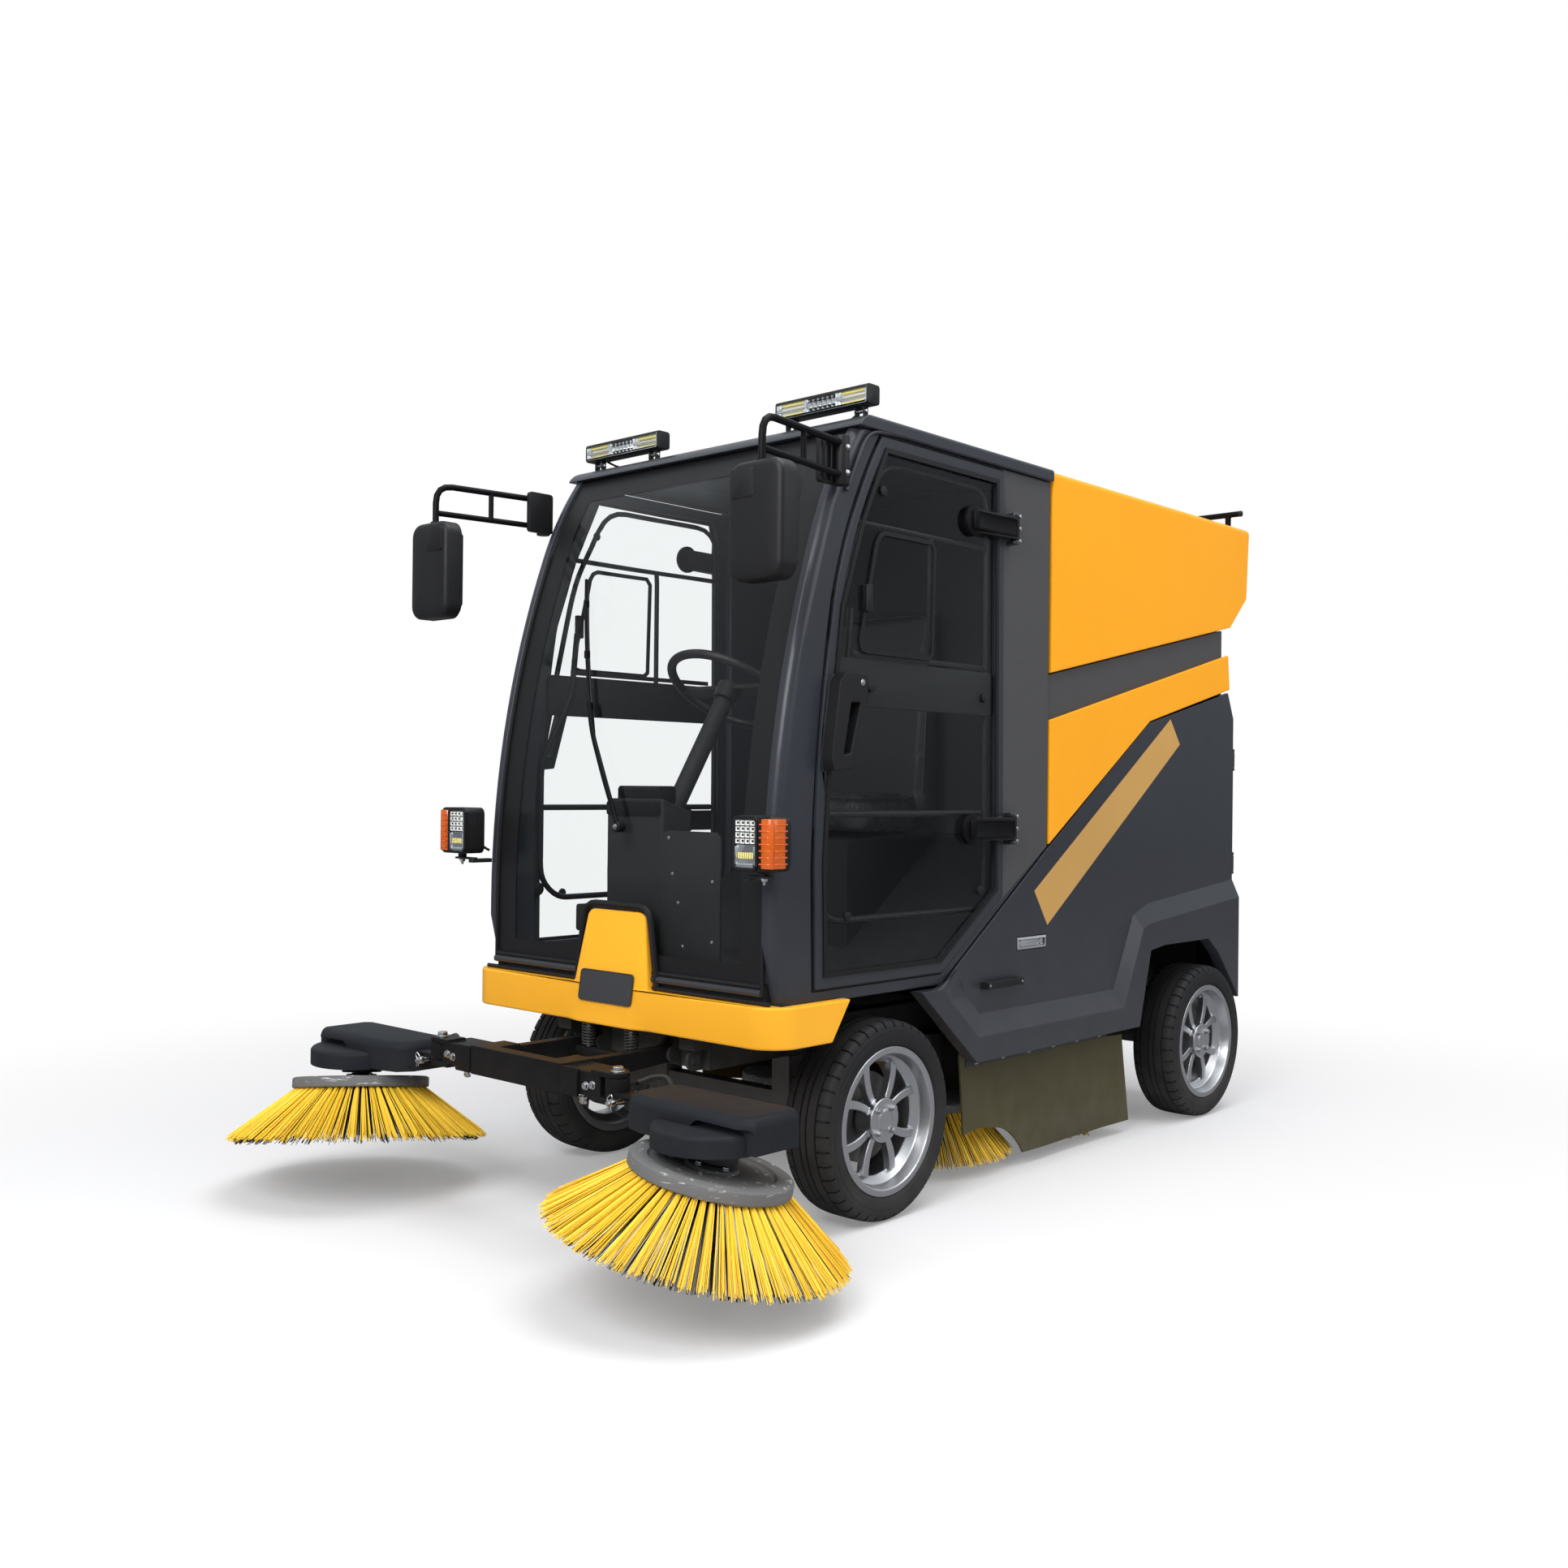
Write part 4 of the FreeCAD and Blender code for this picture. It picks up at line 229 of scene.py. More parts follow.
# ---- Tyres: moulded rubber, with three grooves round the tread and cross slots that part
# the shoulders into blocks. The flanks are smooth, with a rim guard and two fine rings.
body_of = {node: body for body, members in frame["record"]["behaviour"]["bodies"].items()
    for node in members}


def pick(*pieces):
    """These objects alone are selected, the first one active."""
    bpy.ops.object.select_all(action="DESELECT")
    for piece in pieces:
        piece.select_set(True)
    bpy.context.view_layer.objects.active = pieces[0]


def mode(kind):
    bpy.ops.object.mode_set(mode=kind)


def extrude(move):
    bpy.ops.mesh.extrude_region_move(TRANSFORM_OT_translate={"value": move})


def new_shape(operator, **values):
    """A primitive from an operator of bpy.ops.mesh, its place and turn kept in the mesh."""
    bpy.ops.object.select_all(action="DESELECT")
    operator(**values)
    bpy.ops.object.transform_apply(location=True, rotation=True, scale=True)
    return bpy.context.object


def modify(piece, kind, **settings):
    """A modifier with its settings, applied."""
    pick(piece)
    change = piece.modifiers.new(kind.lower(), kind)
    for key, value in settings.items():
        setattr(change, key, value)
    bpy.ops.object.modifier_apply(modifier=change.name)


def draw(points):
    """A chain of edges through the points, left in edit mode: a plane is drawn together to
    one corner, moved to the first point and extruded from point to point."""
    piece = new_shape(bpy.ops.mesh.primitive_plane_add, size=1, location=(0, 0, 0))
    mode("EDIT")
    bpy.ops.mesh.select_mode(type="VERT")
    bpy.ops.mesh.select_all(action="SELECT")
    bpy.ops.mesh.merge(type="CENTER")
    bpy.ops.transform.translate(value=points[0])
    for before, after in zip(points, points[1:]):
        step = [b - a for a, b in zip(before, after)]
        extrude(step)
    bpy.ops.mesh.select_all(action="SELECT")
    return piece


def tidy_normals(distance=1e-05):
    bpy.ops.mesh.select_all(action="SELECT")
    bpy.ops.mesh.remove_doubles(threshold=distance)
    bpy.ops.mesh.normals_make_consistent(inside=False)
    mode("OBJECT")


def lathe(points, centre, axis, steps):
    """A closed or open outline spun a full turn."""
    piece = draw(points)
    bpy.ops.mesh.spin(steps=steps, angle=2 * math.pi, center=centre, axis=axis)
    tidy_normals()
    return piece


def slab(points, way):
    """A flat outline filled and extruded."""
    piece = draw(points)
    bpy.ops.mesh.edge_face_add()
    extrude(way)
    tidy_normals()
    return piece


def choose(piece, test):
    """Selects, in edit mode, the faces whose centre and normal pass a test."""
    pick(piece)
    mode("EDIT")
    bpy.ops.mesh.select_mode(type="FACE")
    bpy.ops.mesh.select_all(action="DESELECT")
    mode("OBJECT")
    for face in piece.data.polygons:
        face.select = test(face.center, face.normal)
    mode("EDIT")


def press(piece, inset, push, axis, least=0.9, deep=False):
    """The faces that look along an axis, forwards or backwards as the sign of the least
    share says, are inset and pushed. Deep ones keep their walls upright."""
    if least < 0:
        choose(piece, lambda centre, normal: normal[axis] < least)
    else:
        choose(piece, lambda centre, normal: normal[axis] > least)
    bpy.ops.mesh.inset(thickness=inset)
    if deep:
        extrude(push)
    else:
        bpy.ops.transform.translate(value=push)
    mode("OBJECT")


def chamfer(piece, offset, segments):
    """The edges of the faces that look up are rounded."""
    choose(piece, lambda centre, normal: normal.z > 0.9)
    bpy.ops.mesh.bevel(offset=offset, segments=segments, affect="EDGES")
    mode("OBJECT")


def round_off(piece, width, segments=2, angle=35.0):
    """A Bevel modifier on the sharp edges, applied."""
    modify(piece, "BEVEL", width=width, segments=segments, limit_method="ANGLE",
        angle_limit=math.radians(angle), use_clamp_overlap=False)


def finish_piece(piece, finish, cad_node, angle=40.0):
    """Smooth shading by angle, the finish if the piece has none, the place in the mesh, and the
    body of a CAD node."""
    pick(piece)
    bpy.ops.object.transform_apply(location=True, rotation=True, scale=True)
    bpy.ops.object.shade_smooth_by_angle(angle=math.radians(angle))
    if not piece.data.materials:
        piece.data.materials.append(finish)
    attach(piece, body_of[cad_node])
    return piece


def join(name, pieces):
    """Pieces made one object, each keeping its own finish."""
    pick(*pieces)
    if len(pieces) > 1:
        bpy.ops.object.join()
    pieces[0].name = name
    return pieces[0]


def moved(piece, move):
    """A piece whose mesh is moved by a matrix, and turned right side out if it is mirrored."""
    piece.data.transform(move)
    if move.determinant() < 0:
        piece.data.flip_normals()
    return piece


def copy_of(piece, name, move):
    """A copy with its own mesh, moved by a matrix."""
    twin = bpy.data.objects.new(name, piece.data.copy())
    bpy.context.scene.collection.objects.link(twin)
    return moved(twin, move)


def rounded(cad_node, finish, width=0.002, segments=2, angle=35.0, smooth=40.0, convex=False):
    """A copy of a CAD node with its triangles merged and its edges rounded, which stands
    for the node. Its normals are weighted by area, so flat faces stay flat. Faces with thin
    arms are split into convex ones, which the bevel can't fold over."""
    piece = bpy.data.objects.new(cad_node + "_shape", nodes[cad_node].data.copy())
    bpy.context.scene.collection.objects.link(piece)
    pick(piece)
    mode("EDIT")
    bpy.ops.mesh.customdata_custom_splitnormals_clear()
    bpy.ops.mesh.select_mode(type="VERT")
    bpy.ops.mesh.select_all(action="SELECT")
    bpy.ops.mesh.remove_doubles(threshold=5e-05)
    bpy.ops.mesh.dissolve_limited(angle_limit=math.radians(1.0))
    if convex:
        bpy.ops.mesh.vert_connect_concave()
    mode("OBJECT")
    if width:
        round_off(piece, width, segments, angle)
    piece.data.materials.clear()
    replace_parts(piece, cad_node)
    finish_piece(piece, finish, cad_node, smooth)
    modify(piece, "WEIGHTED_NORMAL", weight=100, keep_sharp=True)
    return piece


tyre_low, tyre_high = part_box("tyre_front_left")
tyre_middle = [(a + b) / 2 for a, b in zip(tyre_low, tyre_high)]
tyre_radius = (tyre_high[2] - tyre_low[2]) / 2
tyre_half = (tyre_high[0] - tyre_low[0]) / 2
bead_radius, flange_radius, bead_half = 0.1923, 0.2083, 0.0697
groove_depth = 0.006
tyre_steps, steps_per_block = 252, 6
half_outline = [(bead_half, bead_radius), (bead_half, flange_radius), (0.0775, 0.2098),
    (0.08, 0.212), (0.0795, 0.215), (0.0812, 0.2165), (tyre_half, 0.23), (tyre_half, 0.24),
    (0.0815, 0.2405), (0.0813, 0.244), (0.08, 0.255), (0.0788, 0.256), (0.078, 0.262),
    (0.074, 0.27), (0.069, 0.275), (0.06, 0.2776), (0.052, 0.2786), (0.046, 0.279),
    (0.0452, 0.279 - groove_depth), (0.0402, 0.279 - groove_depth), (0.0394, 0.2794),
    (0.022, 0.2797), (0.0145, tyre_radius), (0.0137, tyre_radius - groove_depth),
    (0.0083, tyre_radius - groove_depth), (0.0075, tyre_radius)]
outline = half_outline + [(-x, r) for x, r in reversed(half_outline)]
outline.append(outline[0])
tyre = lathe([(tyre_middle[0] + x, tyre_middle[1], tyre_middle[2] + r) for x, r in outline],
    tyre_middle, (1, 0, 0), tyre_steps)


def in_slot(centre, normal):
    across = abs(centre.x - tyre_middle[0])
    up, along = centre.z - tyre_middle[2], centre.y - tyre_middle[1]
    column = math.floor(math.atan2(up, along) / (2 * math.pi) * tyre_steps)
    return (0.047 < across < 0.0785 and math.hypot(up, along) > 0.2615
        and (column % steps_per_block == (0 if centre.x > tyre_middle[0] else 3)))


choose(tyre, in_slot)
bpy.ops.mesh.extrude_region_shrink_fatten(TRANSFORM_OT_shrink_fatten={"value": -0.0045})
mode("OBJECT")
rubber = coating("worn_rubber", (0.012, 0.012, 0.013), 0.62, drift=0.3, dust=0.14, dust_top=0.45,
    grain=700.0, bump=0.25, edge=0)
tyre_names = ("tyre_front_left", "tyre_front_right", "tyre_rear_left", "tyre_rear_right")
tyres = [tyre]
for name in tyre_names[1:]:
    low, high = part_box(name)
    shift = Vector([(a + b) / 2 for a, b in zip(low, high)]) - Vector(tyre_middle)
    tyres.append(copy_of(tyre, name + "_shape", Matrix.Translation(shift)))
tyre.name = tyre_names[0] + "_shape"
for piece, name in zip(tyres, tyre_names):
    finish_piece(piece, rubber, name, angle=30.0)
    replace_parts(piece, name)

# ---- Rims: cast alloy with four pairs of curved spokes. Each is held by four nuts round
# the cap, and a valve with a red cap stands in the rim's well.
alloy = coating("cast_alloy", (0.54, 0.55, 0.57), 0.3, metallic=1.0, drift=0.06, dust=0.25,
    dust_top=0.5, grain=900.0, bump=0.02, edge=0.003)
steel = coating("plated_steel", (0.55, 0.56, 0.58), 0.25, metallic=1.0, dust=0.1, edge=0.0006)
red_plastic = coating("red_plastic", (0.75, 0.06, 0.02), 0.4, dust=0.0, edge=0)
rim_names = [name.replace("tyre", "rim") for name in tyre_names]
nut_circle, nut_radius, nut_height = 0.044, 0.01, 0.018
for name in rim_names:
    rounded(name, alloy, width=0.0035, segments=3, angle=40.0)
    low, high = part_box(name)
    middle = Vector([(a + b) / 2 for a, b in zip(low, high)])
    out = 1 if middle.x > 0 else -1
    face = middle.x + out * 0.0601
    fixings = []
    for turn in range(4):
        angle = math.radians(90 * turn + 45)
        spot = (face, middle.y + nut_circle * math.cos(angle),
            middle.z + nut_circle * math.sin(angle))
        nut = new_shape(bpy.ops.mesh.primitive_cylinder_add, vertices=6, radius=nut_radius,
            depth=nut_height, location=spot, rotation=(0, math.pi / 2, 0))
        choose(nut, lambda centre, normal: normal.x * out > 0.9)
        bpy.ops.mesh.inset(thickness=0.0018)
        extrude((out * 0.004, 0, 0))
        bpy.ops.mesh.inset(thickness=0.003)
        mode("OBJECT")
        nut.data.materials.append(steel)
        fixings.append(nut)
    stem = lathe([(middle.x + out * x, middle.y + 0.12, middle.z - 0.118 + r)
        for x, r in ((-0.01, 0), (-0.01, 0.005), (0.008, 0.004), (0.008, 0.0055), (0.026, 0.0055),
        (0.029, 0.003), (0.029, 0))], (0, middle.y + 0.12, middle.z - 0.118), (1, 0, 0), 12)
    stem.data.materials.append(red_plastic)
    fixings.append(stem)
    group = join(name + "_nuts", fixings)
    finish_piece(group, steel, name, angle=30.0)

# ---- Frame and axles: the castings and the welded members keep their CAD shapes, with
# their edges rounded. The battery is one plain case.
for name in ("frame_rails", "cross_members", "tow_brackets", "boom_mount", "brush_hood",
        "mid_brush_motors"):
    rounded(name, frame_black, width=0.0025)
for name in ("front_axle", "rear_axle", "knuckle_left", "knuckle_right"):
    rounded(name, cast_grey, width=0.003)
rounded("battery_pack", battery_case, width=0.008, segments=3)

# ---- Boom: a pressed cross beam in gloss black. Two fork plates at each end hold the brush
# arms, two coil springs lift it, and a bolt with a wing nut hangs under each fork.
axle_low, axle_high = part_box("front_axle")
axle_y = (axle_low.y + axle_high.y) / 2
gloss_black = coating("gloss_black", (0.005, 0.005, 0.006), 0.4, coat=0.0, drift=0.2, dust=0.12,
    dust_top=0.6, grain=500.0, bump=0.03, edge=0.002, shine=0.08)
hose_black = coating("hose_black", (0.01, 0.01, 0.01), 0.45, dust=0.2, edge=0)
boom_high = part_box("brush_boom")[1]


def at(x, y, z):
    """A point whose y is counted from the front axle."""
    return Vector((x, y + axle_y, z))


def tile(low, high, way="y", corner=0.0, edge=0.001, steps=4):
    """A block between two corners. The edges along one way are rounded by the corner
    radius, and the rest by a small bevel."""
    piece = new_shape(bpy.ops.mesh.primitive_cube_add, size=1,
        location=[(a + b) / 2 for a, b in zip(low, high)], scale=[abs(b - a)
        for a, b in zip(low, high)])
    if corner:
        axis = "xyz".index(way)
        mode("EDIT")
        bpy.ops.mesh.select_mode(type="EDGE")
        bpy.ops.mesh.select_all(action="DESELECT")
        mode("OBJECT")
        spots = [v.co for v in piece.data.vertices]
        for line in piece.data.edges:
            run = (spots[line.vertices[1]] - spots[line.vertices[0]]).normalized()
            line.select = abs(run[axis]) > 0.99
        mode("EDIT")
        bpy.ops.mesh.bevel(offset=corner, segments=steps, affect="EDGES")
        mode("OBJECT")
    if edge:
        round_off(piece, edge, 2, 60.0)
    return piece


def disc(centre, way, radius, depth, sides=24, edge=0.001):
    """A short round piece centred at a point, its axis along a direction."""
    piece = new_shape(bpy.ops.mesh.primitive_cylinder_add, vertices=sides, radius=radius,
        depth=depth, location=centre, rotation=Vector(way).to_track_quat("Z", "Y").to_euler())
    if edge:
        round_off(piece, edge, 2, 60.0)
    return piece


def bolt(centre, way, radius=0.009):
    """A hexagon head on a washer, which stands out from a face along a direction."""
    way = Vector(way).normalized()
    washer = disc(Vector(centre) + way * 0.001, way, radius * 1.25, 0.002, 18, 0.0004)
    head = disc(Vector(centre) + way * (0.002 + radius * 0.35), way, radius, radius * 0.7, 6,
        0.0006)
    return join("bolt", [washer, head])


def tube(points, radius, bend=0.0, sides=2):
    """A round bar or hose through the points, with its corners rounded, as a mesh."""
    points = [Vector(p) for p in points]
    path = [points[0]]
    for before, corner, after in zip(points, points[1:], points[2:]):
        if not bend:
            path.append(corner)
            continue
        reach = min(bend, (before - corner).length * 0.45, (after - corner).length * 0.45)
        start = corner + (before - corner).normalized() * reach
        stop = corner + (after - corner).normalized() * reach
        for share in (0.0, 0.25, 0.5, 0.75, 1.0):
            path.append(start * (1 - share) ** 2 + corner * 2 * share * (1 - share) + stop
                * share ** 2)
    path.append(points[-1])
    line = bpy.data.curves.new("tube", "CURVE")
    line.dimensions = "3D"
    line.bevel_depth = radius
    line.bevel_resolution = sides
    line.use_fill_caps = True
    spline = line.splines.new("POLY")
    spline.points.add(len(path) - 1)
    for point, spot in zip(spline.points, path):
        point.co = (spot.x, spot.y, spot.z, 1)
    piece = bpy.data.objects.new("tube", line)
    bpy.context.scene.collection.objects.link(piece)
    pick(piece)
    bpy.ops.object.convert(target="MESH")
    piece = bpy.context.object
    mode("EDIT")
    tidy_normals()
    return piece


def spring(foot, height, radius, wire_radius, turns):
    """A coil spring that stands on its foot: a ring wound up by a Screw modifier."""
    piece = new_shape(bpy.ops.mesh.primitive_circle_add, vertices=8, radius=wire_radius,
        fill_type="NOTHING", location=(radius, 0, wire_radius), rotation=(math.pi / 2, 0, 0))
    modify(piece, "SCREW", axis="Z", iterations=turns, steps=14, render_steps=14,
        screw_offset=(height - 2 * wire_radius) / turns)
    mode("EDIT")
    bpy.ops.mesh.select_mode(type="EDGE")
    bpy.ops.mesh.select_all(action="DESELECT")
    bpy.ops.mesh.select_non_manifold()
    bpy.ops.mesh.edge_face_add()
    tidy_normals()
    piece.data.transform(Matrix.Translation(foot))
    return piece


flip = Matrix.Scale(-1, 4, (1, 0, 0))
two_sides = (("left", Matrix.Identity(4)), ("right", flip))


def both(name, pieces):
    """The left pieces and their mirror images, joined."""
    left = join(name, pieces)
    right = copy_of(left, name + "_other", flip)
    return join(name, [left, right])


def painted(piece, finish):
    piece.data.materials.clear()
    piece.data.materials.append(finish)
    return piece


def parts(*rows):
    """Painted pieces, from rows of a finish, a maker and what the maker takes."""
    return [painted(maker(*given), finish) for finish, maker, *given in rows]


rounded("brush_boom", gloss_black, width=0.003, segments=3)
coils = parts((frame_black, spring, at(0.091, -0.469, 0.4555), 0.071, 0.018, 0.0028, 8),
    (steel, disc, at(0.091, -0.469, 0.49), (0, 0, 1), 0.007, 0.07))
coils = finish_piece(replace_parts(both("lift_coils", coils), "lift_springs"), frame_black,
    "lift_springs")
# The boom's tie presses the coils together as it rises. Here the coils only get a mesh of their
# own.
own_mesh(coils)

fork_x, fork_y = 0.376, -0.77
hardware = parts((steel, bolt, at(fork_x, fork_y, boom_high.z), (0, 0, 1), 0.015),
    (steel, bolt, at(0.312, -0.797, 0.445), (0, -1, 0), 0.009),
    (steel, bolt, at(0.286, -0.797, 0.44), (0, -1, 0), 0.009),
    (steel, disc, at(0.25, -0.775, 0.405), (0, 0, 1), 0.006, 0.04),
    (steel, tile, at(0.236, -0.777, 0.386), at(0.264, -0.773, 0.396), "y", 0.0035),
    (steel, bolt, at(0.25, -0.775, 0.406), (0, 0, -1), 0.01))
finish_piece(both("boom_bolts", hardware), steel, "brush_boom", 30.0)
wear = parts((gloss_black, tile, at(0.196, -0.8085, 0.409), at(0.262, -0.798, 0.482), "y", 0.006))
finish_piece(both("boom_plates", wear), gloss_black, "brush_boom")

# ---- Front brushes: a moulded plastic disc with sixty tufts of yellow bristle round its
# foot and sixty black ones inside them, all splayed outwards and cut off raggedly.
bristle_random = random.Random(7)
yellow_bristle = coating("yellow_bristle", (0.92, 0.61, 0.045), 0.5, drift=0.4, dust=0.08,
    dust_top=0.25, grain=90.0, bump=0, edge=0)
black_bristle = coating("black_bristle", (0.012, 0.011, 0.01), 0.45, dust=0.15, dust_top=0.2,
    grain=90.0, bump=0, edge=0)


def scuffed(name, tint, mark, share):
    """A dull plastic whose base colour shows long pale scrapes."""
    finish = coating(name, tint, 0.55, dust=0.45, dust_top=0.5, bump=0.15, edge=0.002)
    tree = finish.node_tree
    shader = tree.nodes["Principled BSDF"]
    stretched = node(tree, "Mapping", {"Vector": texture_space(tree), "Scale": (9, 9, 60)})
    scrapes = noise_node(tree, stretched, 2.0, 8.0, 1.2)
    mask = node(tree, "MapRange", {"Value": scrapes, "From Min": 0.6, "From Max": 0.68,
        "To Max": share})
    under = shader.inputs["Base Color"].links[0].from_socket
    over = node(tree, "Mix", {0: mask, 6: under, 7: mark}, data_type="RGBA")
    feed(shader, {"Base Color": over.outputs[2]})
    return finish


disc_plastic = scuffed("disc_plastic", (0.115, 0.118, 0.122), (0.5, 0.5, 0.49, 1), 0.9)

strand = new_shape(bpy.ops.mesh.primitive_cylinder_add, vertices=3, radius=1, depth=0.45,
    location=(0, 0, 0.225))
choose(strand, lambda centre, normal: normal.z > 0.9)
extrude((1.2, 0, 0.55))
bpy.ops.transform.resize(value=(0.7, 0.7, 1))
mode("OBJECT")


def tuft(root, tip, strands, waist, spread, ragged, width, share_black):
    """A bundle of bristles from its root to its tip, in the XZ plane of its brush."""
    root, tip = Vector(root), Vector(tip)
    pieces = []
    for number in range(strands):
        angle = bristle_random.uniform(0, 2 * math.pi)
        reach = math.sqrt(bristle_random.random())
        out = (tip - root).normalized()
        side = Vector((0, 1, 0))
        lift = out.cross(side)
        start = root + (side * math.cos(angle) + lift * math.sin(angle)) * waist * reach
        stop = tip + (side * math.cos(angle) + lift * math.sin(angle) * 0.6) * spread * reach
        stop -= out * bristle_random.uniform(0, ragged)
        line = stop - start
        turn = line.to_track_quat("Z", "Y").to_matrix().to_4x4()
        twist = Matrix.Rotation(bristle_random.uniform(0, 2 * math.pi), 4, "Z")
        size = Matrix.Diagonal((width, width, line.length, 1))
        piece = copy_of(strand, "strand", Matrix.Translation(start) @ turn @ twist @ size)
        black = bristle_random.random() < share_black
        pieces.append(painted(piece, black_bristle if black else yellow_bristle))
    return join("tuft", pieces)


def brush_ring(tufts, count, start_angle=0.0):
    """Tufts set round the brush's axis, taken in turn from a few models."""
    pieces = []
    for number in range(count):
        turn = Matrix.Rotation(start_angle + 2 * math.pi * number / count, 4, "Z")
        pieces.append(copy_of(tufts[bristle_random.randrange(len(tufts))], "tuft", turn))
    return join("ring", pieces)


def drop(*pieces):
    """Models that were only copied go."""
    for piece in pieces:
        bpy.data.objects.remove(piece)


outer_tufts = [tuft((0.172, 0, -0.028), (0.372, 0, -0.181), 26, 0.0062, 0.0165, 0.024, 0.0013, 0.06)
    for number in range(5)]
inner_tufts = [tuft((0.135, 0, -0.028), (0.352, 0, -0.187), 16, 0.006, 0.015, 0.02, 0.0013, 1.0)
    for number in range(3)]
skirt = join("front_bristles", [brush_ring(outer_tufts, 60),
    brush_ring(inner_tufts, 60, math.radians(3))])
drop(*outer_tufts, *inner_tufts)
plate = lathe([(0.0, 0, 0.0), (0.06, 0, 0.0), (0.066, 0, -0.006), (0.15, 0, -0.006),
    (0.156, 0, -0.001), (0.19, 0, -0.001), (0.1965, 0, -0.004), (0.198, 0, -0.008),
    (0.198, 0, -0.03), (0.1955, 0, -0.033), (0.11, 0, -0.033), (0.1, 0, -0.02), (0.0, 0, -0.02)],
    (0, 0, 0), (0, 0, 1), 96)
painted(plate, disc_plastic)
shaft = painted(disc((0, 0, 0.004), (0, 0, 1), 0.03, 0.014, 24), gloss_black)
studs = []
for number in range(4):
    turn = Matrix.Rotation(math.radians(45 + 90 * number), 4, "Z")
    stud = bolt((0.045, 0, 0.0), (0, 0, 1), 0.008)
    stud.data.transform(turn)
    studs.append(painted(stud, steel))
front_brush = join("front_brush", [skirt, plate, shaft] + studs)
brush_axis = Vector((0.15593, 0.13722, 0.97815))
brush_place = (Matrix.Translation(at(0.746, -0.8, 0.323))
    @ brush_axis.to_track_quat("Z", "Y").to_matrix().to_4x4())
for side, way in two_sides:
    name = "side_brush_" + side
    piece = copy_of(front_brush, name + "_shape", way @ brush_place)
    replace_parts(piece, name)
    finish_piece(piece, disc_plastic, name, 30.0)
drop(front_brush)

# ---- Brush arms: a square bar to the hydraulic motor, under a glossy moulded cover. The
# cover has a saddle over the arm, a stepped face in front and a round cap over the disc.
cover_black = coating("cover_black", (0.013, 0.015, 0.019), 0.5, coat=0.0, drift=0.2, dust=0.12,
    dust_top=0.55, grain=300.0, bump=0.02, edge=0, shine=0.06)
for side, way in two_sides:
    name = "side_arm_" + side
    saddle = slab([at(x, y, 0.374) for x, y in ((0.472, -0.692), (0.472, -0.8), (0.5, -0.842),
        (0.56, -0.86), (0.88, -0.86), (0.918, -0.835), (0.918, -0.69), (0.89, -0.662),
        (0.5, -0.662), (0.472, -0.692))], (0, 0, 0.085))
    chamfer(saddle, 0.026, 5)
    cutter = slab([at(x, -0.9, z) for x, z in ((0.7, 0.35), (0.728, 0.418), (0.748, 0.436),
        (0.95, 0.432), (0.95, 0.35), (0.7, 0.35))], (0, 0.063, 0))
    round_off(cutter, 0.01, 3)
    modify(saddle, "BOOLEAN", operation="DIFFERENCE", object=cutter)
    drop(cutter)
    painted(saddle, cover_black)
    rim = []
    for number in range(17):
        angle = math.radians(180 + 165 * number / 16)
        rim.append(at(0.746 + 0.15 * math.cos(angle), -0.8 + 0.147 * math.sin(angle), 0.369))
    rim.append(at(0.895, -0.72, 0.369))
    rim.append(at(0.597, -0.72, 0.369))
    rim.append(rim[0])
    cap = slab(rim, (0, 0, 0.05))
    chamfer(cap, 0.012, 4)
    painted(cap, cover_black)
    motor = disc((0, 0, 0.04), (0, 0, 1), 0.058, 0.055, 32, 0.003)
    motor.data.transform(brush_place)
    arm = parts(
        (gloss_black, tile, at(0.376, -0.7956, 0.4215), at(0.5, -0.7444, 0.436), "x", 0.004),
        (gloss_black, tile, at(0.43, -0.7956, 0.4), at(0.64, -0.7444, 0.432), "x", 0.004),
        (gloss_black, disc, at(fork_x, fork_y, 0.4455), (0, 0, 1), 0.032, 0.05, 32))
    pins = parts(
        (steel, tube, [at(0.41, -0.835, 0.418), at(0.41, -0.735, 0.418)], 0.006),
        (steel, tube, [at(x, -0.828, z) for x, z in ((0.41, 0.402), (0.402, 0.43),
            (0.418, 0.442), (0.424, 0.432), (0.412, 0.418), (0.42, 0.4))], 0.0016, 0.006),
        (steel, disc, at(0.41, -0.82, 0.418), (0, 1, 0), 0.01, 0.014),
        (gloss_black, tube, [at(0.412, -0.826, 0.408), at(0.44, -0.822, 0.392),
            at(0.49, -0.812, 0.388), at(0.52, -0.806, 0.392)], 0.0014, 0.02),
        (hose_black, tube, [at(0.5, -0.7, 0.43), at(0.478, -0.68, 0.452),
            at(0.452, -0.672, 0.468), at(0.42, -0.688, 0.466), at(0.395, -0.715, 0.452)],
            0.0075, 0.03))
    piece = join(name + "_shape", [saddle, cap] + arm + [painted(motor, frame_black)] + pins)
    moved(piece, way)
    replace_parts(piece, name)
    finish_piece(piece, cover_black, name, 35.0)

# ---- Middle brushes: the same plates and tufts, smaller, each under its motor. They stand
# behind the front wheels and sweep inwards.
mid_tufts = [tuft((0.14, 0, 0.008), (0.276, 0, -0.145), 24, 0.006, 0.018, 0.022, 0.0013, 0.12)
    for number in range(4)]
mid_inner = [tuft((0.112, 0, 0.008), (0.238, 0, -0.15), 16, 0.006, 0.015, 0.02, 0.0013, 1.0)
    for number in range(2)]
ring = join("mid_ring", [brush_ring(mid_tufts, 44), brush_ring(mid_inner, 44, math.radians(4))])
drop(*mid_tufts, *mid_inner)
plate = lathe([(0.0, 0, 0.03), (0.15, 0, 0.03), (0.158, 0, 0.026), (0.16, 0, 0.02),
    (0.16, 0, 0.003), (0.157, 0, 0.0), (0.0, 0, 0.0)], (0, 0, 0), (0, 0, 1), 72)
painted(plate, disc_plastic)
